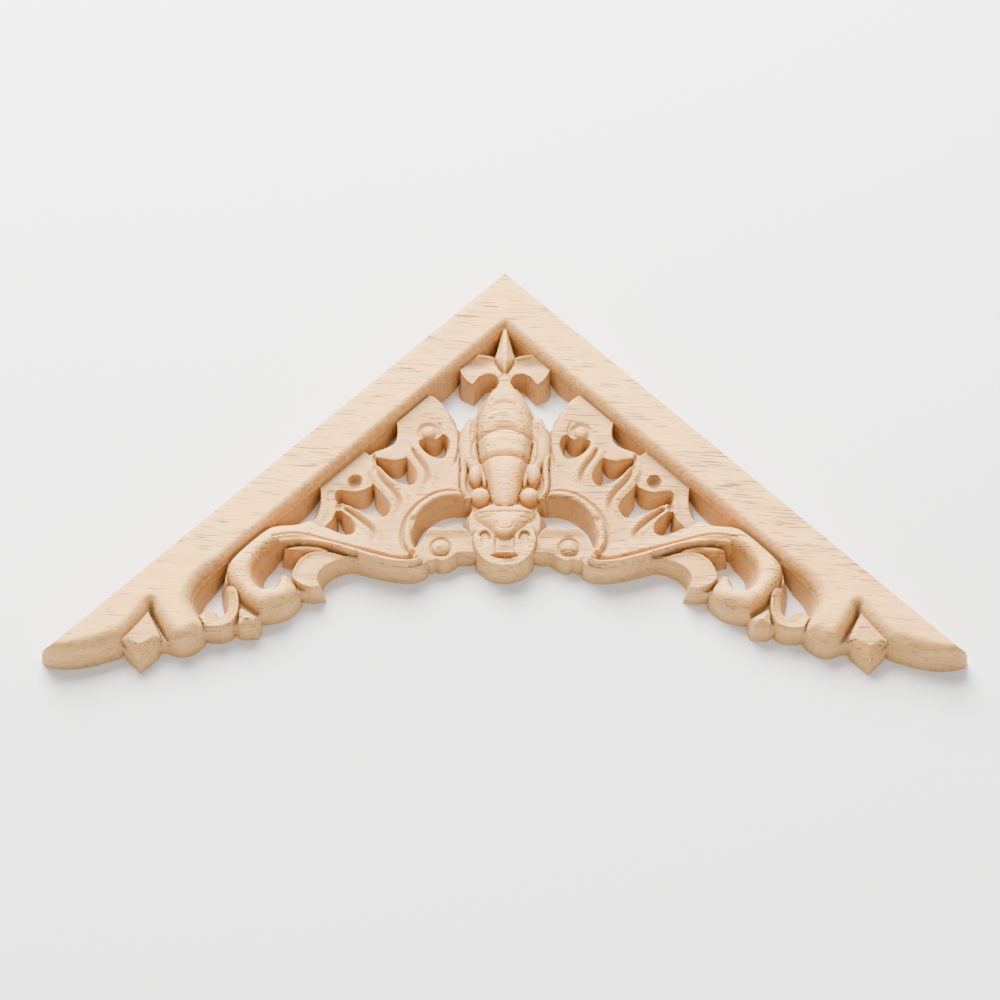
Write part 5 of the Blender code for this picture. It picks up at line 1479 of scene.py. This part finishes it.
@dataclass(frozen=True)
class RawWood:
    """Pale raw hardwood: fine dark pores along X, soft growth bands, painted shade in hollows and on walls.
    """

    light: Triple = (0.93, 0.505, 0.160)
    dark: Triple = (0.79, 0.400, 0.118)
    pore: Triple = (0.15, 0.075, 0.035)
    # painted shade in the hollows; the same colour also draws the gouge marks and the walls' streaks
    shade_and_marks: Triple = (0.18, 0.125, 0.070)
    # painted shade on the walls, mixed in by the wall mask
    wall: Triple = (0.42, 0.253, 0.116)
    # painted shade on the low and shadowed carving, mixed in by the shade mask
    tan: Triple = (0.26, 0.120, 0.032)
    tan_share: float = 0.60
    wall_share: float = 0.80
    hollow_share: float = 0.72
    open_floor_loss: float = 0.6
    tooled_share: float = 0.16
    mark_share: float = 0.24
    streak_share: float = 0.35
    roughness: float = 0.52
    specular: float = 0.35
    lean: Triple = (0.0, math.radians(2.0), math.radians(3.5))
    stretch: Triple = (1.0, 1.0, 0.7)
    bump_strength: float = 0.5
    bump_distance: float = 0.00012

    def grain_group(self) -> bpy.types.NodeTree:
        """Build the group that turns a place in the wood into growth bands and pores.

        Returns:
            A node group with the outputs Bands, Pores and Fuzz, each from 0 to 1.
        """
        group = bpy.data.node_groups.new("straight_grain", "ShaderNodeTree")
        group.interface.new_socket("Vector", in_out="INPUT", socket_type="NodeSocketVector")
        for name in ("Bands", "Pores", "Fuzz"):
            group.interface.new_socket(name, in_out="OUTPUT", socket_type="NodeSocketFloat")
        nodes = Nodes(group)
        vector = nodes.add("NodeGroupInput", {}).outputs["Vector"]
        bands = nodes.noise(vector, (9.0, 190.0, 190.0), 3.0, 0.6)
        streaks = nodes.noise(vector, (42.0, 1250.0, 1250.0), 2.0, 0.6)
        both = nodes.combine("MULTIPLY_ADD", streaks, 0.8, nodes.times(bands, 0.6))
        patches = nodes.noise(vector, (28.0, 90.0, 90.0), 2.0, 0.5)
        limit = nodes.combine("MULTIPLY_ADD", nodes.span(patches, 0.35, 0.70), -0.10, 0.66)
        dashes = nodes.noise(vector, (75.0, 2200.0, 2200.0), 1.0, 0.5)
        pores = nodes.span(nodes.combine("SUBTRACT", dashes, limit), 0.0, 0.06)
        fuzz = nodes.noise(vector, (700.0, 1600.0, 1600.0), 4.0, 0.65)
        nodes.add("NodeGroupOutput", {"Bands": nodes.span(both, 0.50, 0.90), "Pores": pores, "Fuzz": fuzz})
        return group

    def build(self) -> bpy.types.Material:
        """Build the material.

        Returns:
            The material, dressed by the mesh's own masks.
        """
        material = bpy.data.materials.new("raw_wood_carved")
        material.use_nodes = True
        nodes = Nodes(material.node_tree)
        place = nodes.add("ShaderNodeTexCoord", {}).outputs["Object"]
        inputs = {"Vector": place, "Rotation": self.lean, "Scale": self.stretch}
        inputs = {"Vector": nodes.add("ShaderNodeMapping", inputs).outputs["Vector"]}
        grain = nodes.add("ShaderNodeGroup", inputs, node_tree=self.grain_group()).outputs
        hollow, wall, ribs, tooled, shade = (
            nodes.add("ShaderNodeAttribute", {}, attribute_name=name).outputs["Fac"]
            for name in ("hollow", "wall", "ribs", "tooled", "shade"))
        marks = nodes.span(nodes.noise(place, (420.0, 900.0, 420.0), 2.0, 0.6), 0.42, 0.66)
        sheltered = nodes.combine("ADD", nodes.combine("ADD", hollow, wall), nodes.times(tooled, 0.6))
        shown = nodes.combine("MAXIMUM", nodes.combine("MULTIPLY_ADD", sheltered, -0.9, 0.9), 0.12)
        pores = nodes.times(grain["Pores"], shown)
        streaks = nodes.span(nodes.noise(place, (900.0, 900.0, 25.0), 2.0, 0.5), 0.50, 0.75)
        # the hollows' painted shade is held back where the shade mask already paints the floor dark
        open_floor = nodes.combine("MULTIPLY_ADD", nodes.span(shade, 0.6, 1.0), -self.open_floor_loss, 1.0)

        # the tints below paint shade by the shade, wall and hollow masks; the gouge marks, pores and wall
        # streaks are the wood's own
        colour = nodes.tint(grain["Bands"], self.light + (1.0,), self.dark)
        for share, over in (
            (nodes.times(shade, self.tan_share), self.tan),
            (nodes.times(wall, self.wall_share), self.wall),
            (nodes.times(hollow, open_floor, self.hollow_share), self.shade_and_marks),
            (nodes.times(tooled, self.tooled_share), self.shade_and_marks),
            (nodes.times(tooled, marks, self.mark_share), self.shade_and_marks),
            (pores, self.pore),
            (nodes.times(streaks, wall, self.streak_share), self.shade_and_marks),
        ):
            colour = nodes.tint(share, colour, over)

        lines = nodes.noise(place, (60.0, 1250.0, 60.0), 0.0, 0.5)
        height = nodes.times(grain["Fuzz"], 0.35)
        for cut in (nodes.times(pores, 0.9), nodes.times(lines, ribs, 2.0), nodes.times(marks, tooled, 0.8)):
            height = nodes.combine("SUBTRACT", height, cut)
        inputs = {"Strength": self.bump_strength, "Distance": self.bump_distance, "Height": height}
        bump = nodes.add("ShaderNodeBump", inputs)

        shader = nodes.tree.nodes["Principled BSDF"]
        shader.inputs["Specular IOR Level"].default_value = self.specular
        rough = nodes.combine("MULTIPLY_ADD", grain["Fuzz"], 0.25, self.roughness)
        for name, value in (("Base Color", colour), ("Roughness", rough), ("Normal", bump.outputs["Normal"])):
            nodes.tree.links.new(value, shader.inputs[name])
        return material


@dataclass
class Onlay:
    """The whole onlay: its right half, mirrored, brought to the CAD node's box."""

    node: str = "corner_onlay"
    by_face: str = "wall"
    edge_wear: float = 0.16
    wear_width: float = 0.24
    wear_room: float = 0.85
    wear_spacing: float = 0.6
    seam_gap: float = 0.2
    seam_step: float = 0.5
    seam_slack: float = 1e-7
    smooth_angle: float = math.radians(38.0)
    pattern: Pattern = field(default_factory=Pattern)
    carving: Carving = field(default_factory=Carving)
    grid: TopGrid = field(default_factory=TopGrid)
    walls: Walls = field(default_factory=Walls)
    finish: RawWood = field(default_factory=RawWood)

    def wear_line(self, loop: Array, edges: list[Array]) -> Array:
        """Place points just inside an edge, where its soft wear begins.

        Args:
            loop: Points of the edge, with the wood on their left.
            edges: All edges, which the points keep clear of.

        Returns:
            The points that have room.
        """
        inward = leftward(unit(np.roll(loop, -1, axis=0) - np.roll(loop, 1, axis=0)))
        points = loop + inward * self.wear_width
        gap = nearest(points[:, 0], points[:, 1], edges)
        kept = points[(gap > self.wear_room * self.wear_width) & (points[:, 0] > self.seam_gap)]
        clear = [kept[0]]
        for point in kept[1:]:
            if np.linalg.norm(point - clear[-1]) > self.wear_spacing * self.wear_width:
                clear.append(point)
        return np.array(clear)

    def half(self) -> tuple[Array, Array, Masks]:
        """Build the right half in drawn millimetres.

        Returns:
            Vertices, triangles, and the masks: wall by triangle, the others by vertex.
        """
        edge, holes = self.pattern.outline(), self.pattern.holes()
        edges = [edge] + holes
        seam = spline(((0.0, edge[-1][1]), (0.0, edge[0][1])), self.seam_step)[1:-1]
        seam[:, 0] = 0.0
        sizes = [len(edge) + len(seam)] + [len(hole) for hole in holes]
        ends = np.cumsum(sizes)
        loops = [list(range(end - size, end)) for size, end in zip(sizes, ends)]
        worn = [self.wear_line(loop, edges) for loop in edges]
        drawn, hollow = self.grid.places(self.carving, edge, holes)
        plan = np.vstack([edge, seam] + holes + worn + [drawn])
        carved = self.carving.relief(plan)
        wear = np.zeros(len(plan))
        wear[:ends[-1]] = self.edge_wear
        wear[len(edge):ends[0]] = 0.0
        top = np.column_stack([plan, carved.z - wear])
        top_faces = triangulate(plan, loops)

        wall_loops = [loops[0][:len(edge)]] + loops[1:]
        everything = np.vstack([edge, edge * (-1.0, 1.0)] + holes)
        feet = self.walls.feet([top[loop] for loop in wall_loops], everything)
        below, wall_faces, face_shade, back_faces = self.walls.build(top, wall_loops, feet)
        masks = {name: np.zeros(len(top) + len(below)) for name in MARKS + ("hollow",)}
        for name in MARKS:
            masks[name][:len(top)] = getattr(carved, name)
        masks["hollow"][len(top) - len(drawn):len(top)] = hollow
        masks[self.by_face] = np.concatenate([np.zeros(len(top_faces)), face_shade, np.zeros(len(back_faces))])
        return np.vstack([top, below]), np.vstack([top_faces, wall_faces, back_faces]), masks

    def mirrored(self, vertices: Array, faces: Array, masks: Masks) -> tuple[Array, Array, Masks]:
        """Add the left half, with the points of the middle line shared.

        Args:
            vertices: Vertices of the right half.
            faces: Its triangles.
            masks: Its masks.

        Returns:
            The same three for the whole.
        """
        seam = np.abs(vertices[:, 0]) < self.seam_slack
        number = np.where(seam, np.arange(len(vertices)), 0)
        number[~seam] = len(vertices) + np.arange(int((~seam).sum()))
        left = vertices[~seam] * (-1.0, 1.0, 1.0)
        both = {name: np.concatenate([mask, mask if name == self.by_face else mask[~seam]])
                for name, mask in masks.items()}
        return np.vstack([vertices, left]), np.vstack([faces, number[faces][:, ::-1]]), both

    def fitted(self, vertices: Array) -> Array:
        """Bring the vertices to the CAD node's box."""
        low, high = (np.array(corner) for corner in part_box(self.node))
        mine_low, mine_high = vertices.min(axis=0), vertices.max(axis=0)
        return low + (vertices - mine_low) / (mine_high - mine_low) * (high - low)

    def build(self) -> bpy.types.Object:
        """Build the onlay's object and dress it.

        Returns:
            The object.
        """
        vertices, faces, masks = self.mirrored(*self.half())
        mesh = bpy.data.meshes.new("carved_onlay")
        mesh.from_pydata(self.fitted(vertices).tolist(), [], faces.tolist())
        for name, mask in masks.items():
            attribute = mesh.attributes.new(name, "FLOAT", "FACE" if name == self.by_face else "POINT")
            attribute.data.foreach_set("value", mask.astype(np.float32))
        mesh.validate()
        mesh.shade_smooth()
        mesh.set_sharp_from_angle(angle=self.smooth_angle)
        mesh.materials.append(self.finish.build())
        piece = bpy.data.objects.new("carved_onlay", mesh)
        bpy.context.scene.collection.objects.link(piece)
        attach(piece, "root")
        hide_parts(self.node)
        LOG.info("carved onlay: %d triangles", len(mesh.polygons))
        return piece


@dataclass
class Studio:
    """A plain pale floor, soft light from above and behind, and the photograph's camera."""

    camera_place: Triple = (-0.0015, -0.3840, 0.6594)
    camera_target: Triple = (-0.0015, -0.0173, 0.012)
    lens: float = 85.0
    sensor: float = 36.0
    roll: float = math.radians(0.14)
    sky: float = 0.66
    key_power: float = 88.0
    key_place: Triple = (-0.22, 0.82, 0.78)
    fill_power: float = 2.0
    fill_place: Triple = (0.55, -0.45, 0.80)
    light_size: float = 0.9
    floor_half: float = 3.0
    floor_colour: Triple = (0.92, 0.92, 0.91)
    floor_roughness: float = 0.9

    def place(self, name: str, data: bpy.types.ID) -> bpy.types.Object:
        """Put a mesh, a light or a camera into the scene."""
        thing = bpy.data.objects.new(name, data)
        bpy.context.scene.collection.objects.link(thing)
        return thing

    def aim(self, thing: bpy.types.Object, place: Triple, target: Triple) -> None:
        """Put a camera or light in its place and turn it to look at a point."""
        thing.location = place
        way = Vector(target) - thing.location
        thing.rotation_euler = way.to_track_quat("-Z", "Y").to_euler()

    def add_light(self, name: str, place: Triple, power: float) -> None:
        """Hang a square soft light that points at the onlay."""
        light = bpy.data.lights.new(name, "AREA")
        light.energy = power
        light.size = self.light_size
        self.aim(self.place(name, light), place, (0.0, 0.0, 0.0))

    def add_floor(self) -> None:
        """Lay the floor under the onlay."""
        mesh = bpy.data.meshes.new("floor")
        half = self.floor_half
        corners = [(-half, -half, 0.0), (half, -half, 0.0), (half, half, 0.0), (-half, half, 0.0)]
        mesh.from_pydata(corners, [], [(0, 1, 2, 3)])
        material = bpy.data.materials.new("pale_floor")
        material.use_nodes = True
        shader = material.node_tree.nodes["Principled BSDF"]
        shader.inputs["Base Color"].default_value = self.floor_colour + (1.0,)
        shader.inputs["Roughness"].default_value = self.floor_roughness
        mesh.materials.append(material)
        floor = self.place("floor", mesh)

    def add_camera(self) -> None:
        """Set the camera where the photograph was taken."""
        data = bpy.data.cameras.new("camera")
        data.lens = self.lens
        data.sensor_width = self.sensor
        camera = self.place("camera", data)
        self.aim(camera, self.camera_place, self.camera_target)
        camera.rotation_euler.rotate_axis("Z", self.roll)
        bpy.context.scene.camera = camera

    def build(self) -> None:
        """Set up the whole studio."""
        world = bpy.data.worlds.new("studio")
        world.use_nodes = True
        background = world.node_tree.nodes["Background"].inputs
        background["Color"].default_value = (1.0, 1.0, 1.0, 1.0)
        background["Strength"].default_value = self.sky
        bpy.context.scene.world = world
        self.add_floor()
        self.add_light("key", self.key_place, self.key_power)
        self.add_light("fill", self.fill_place, self.fill_power)
        self.add_camera()


def main() -> None:
    """Build the onlay and the studio."""
    logging.basicConfig(level=logging.INFO)
    Onlay().build()
    Studio().build()


if __name__ == "__main__":
    main()
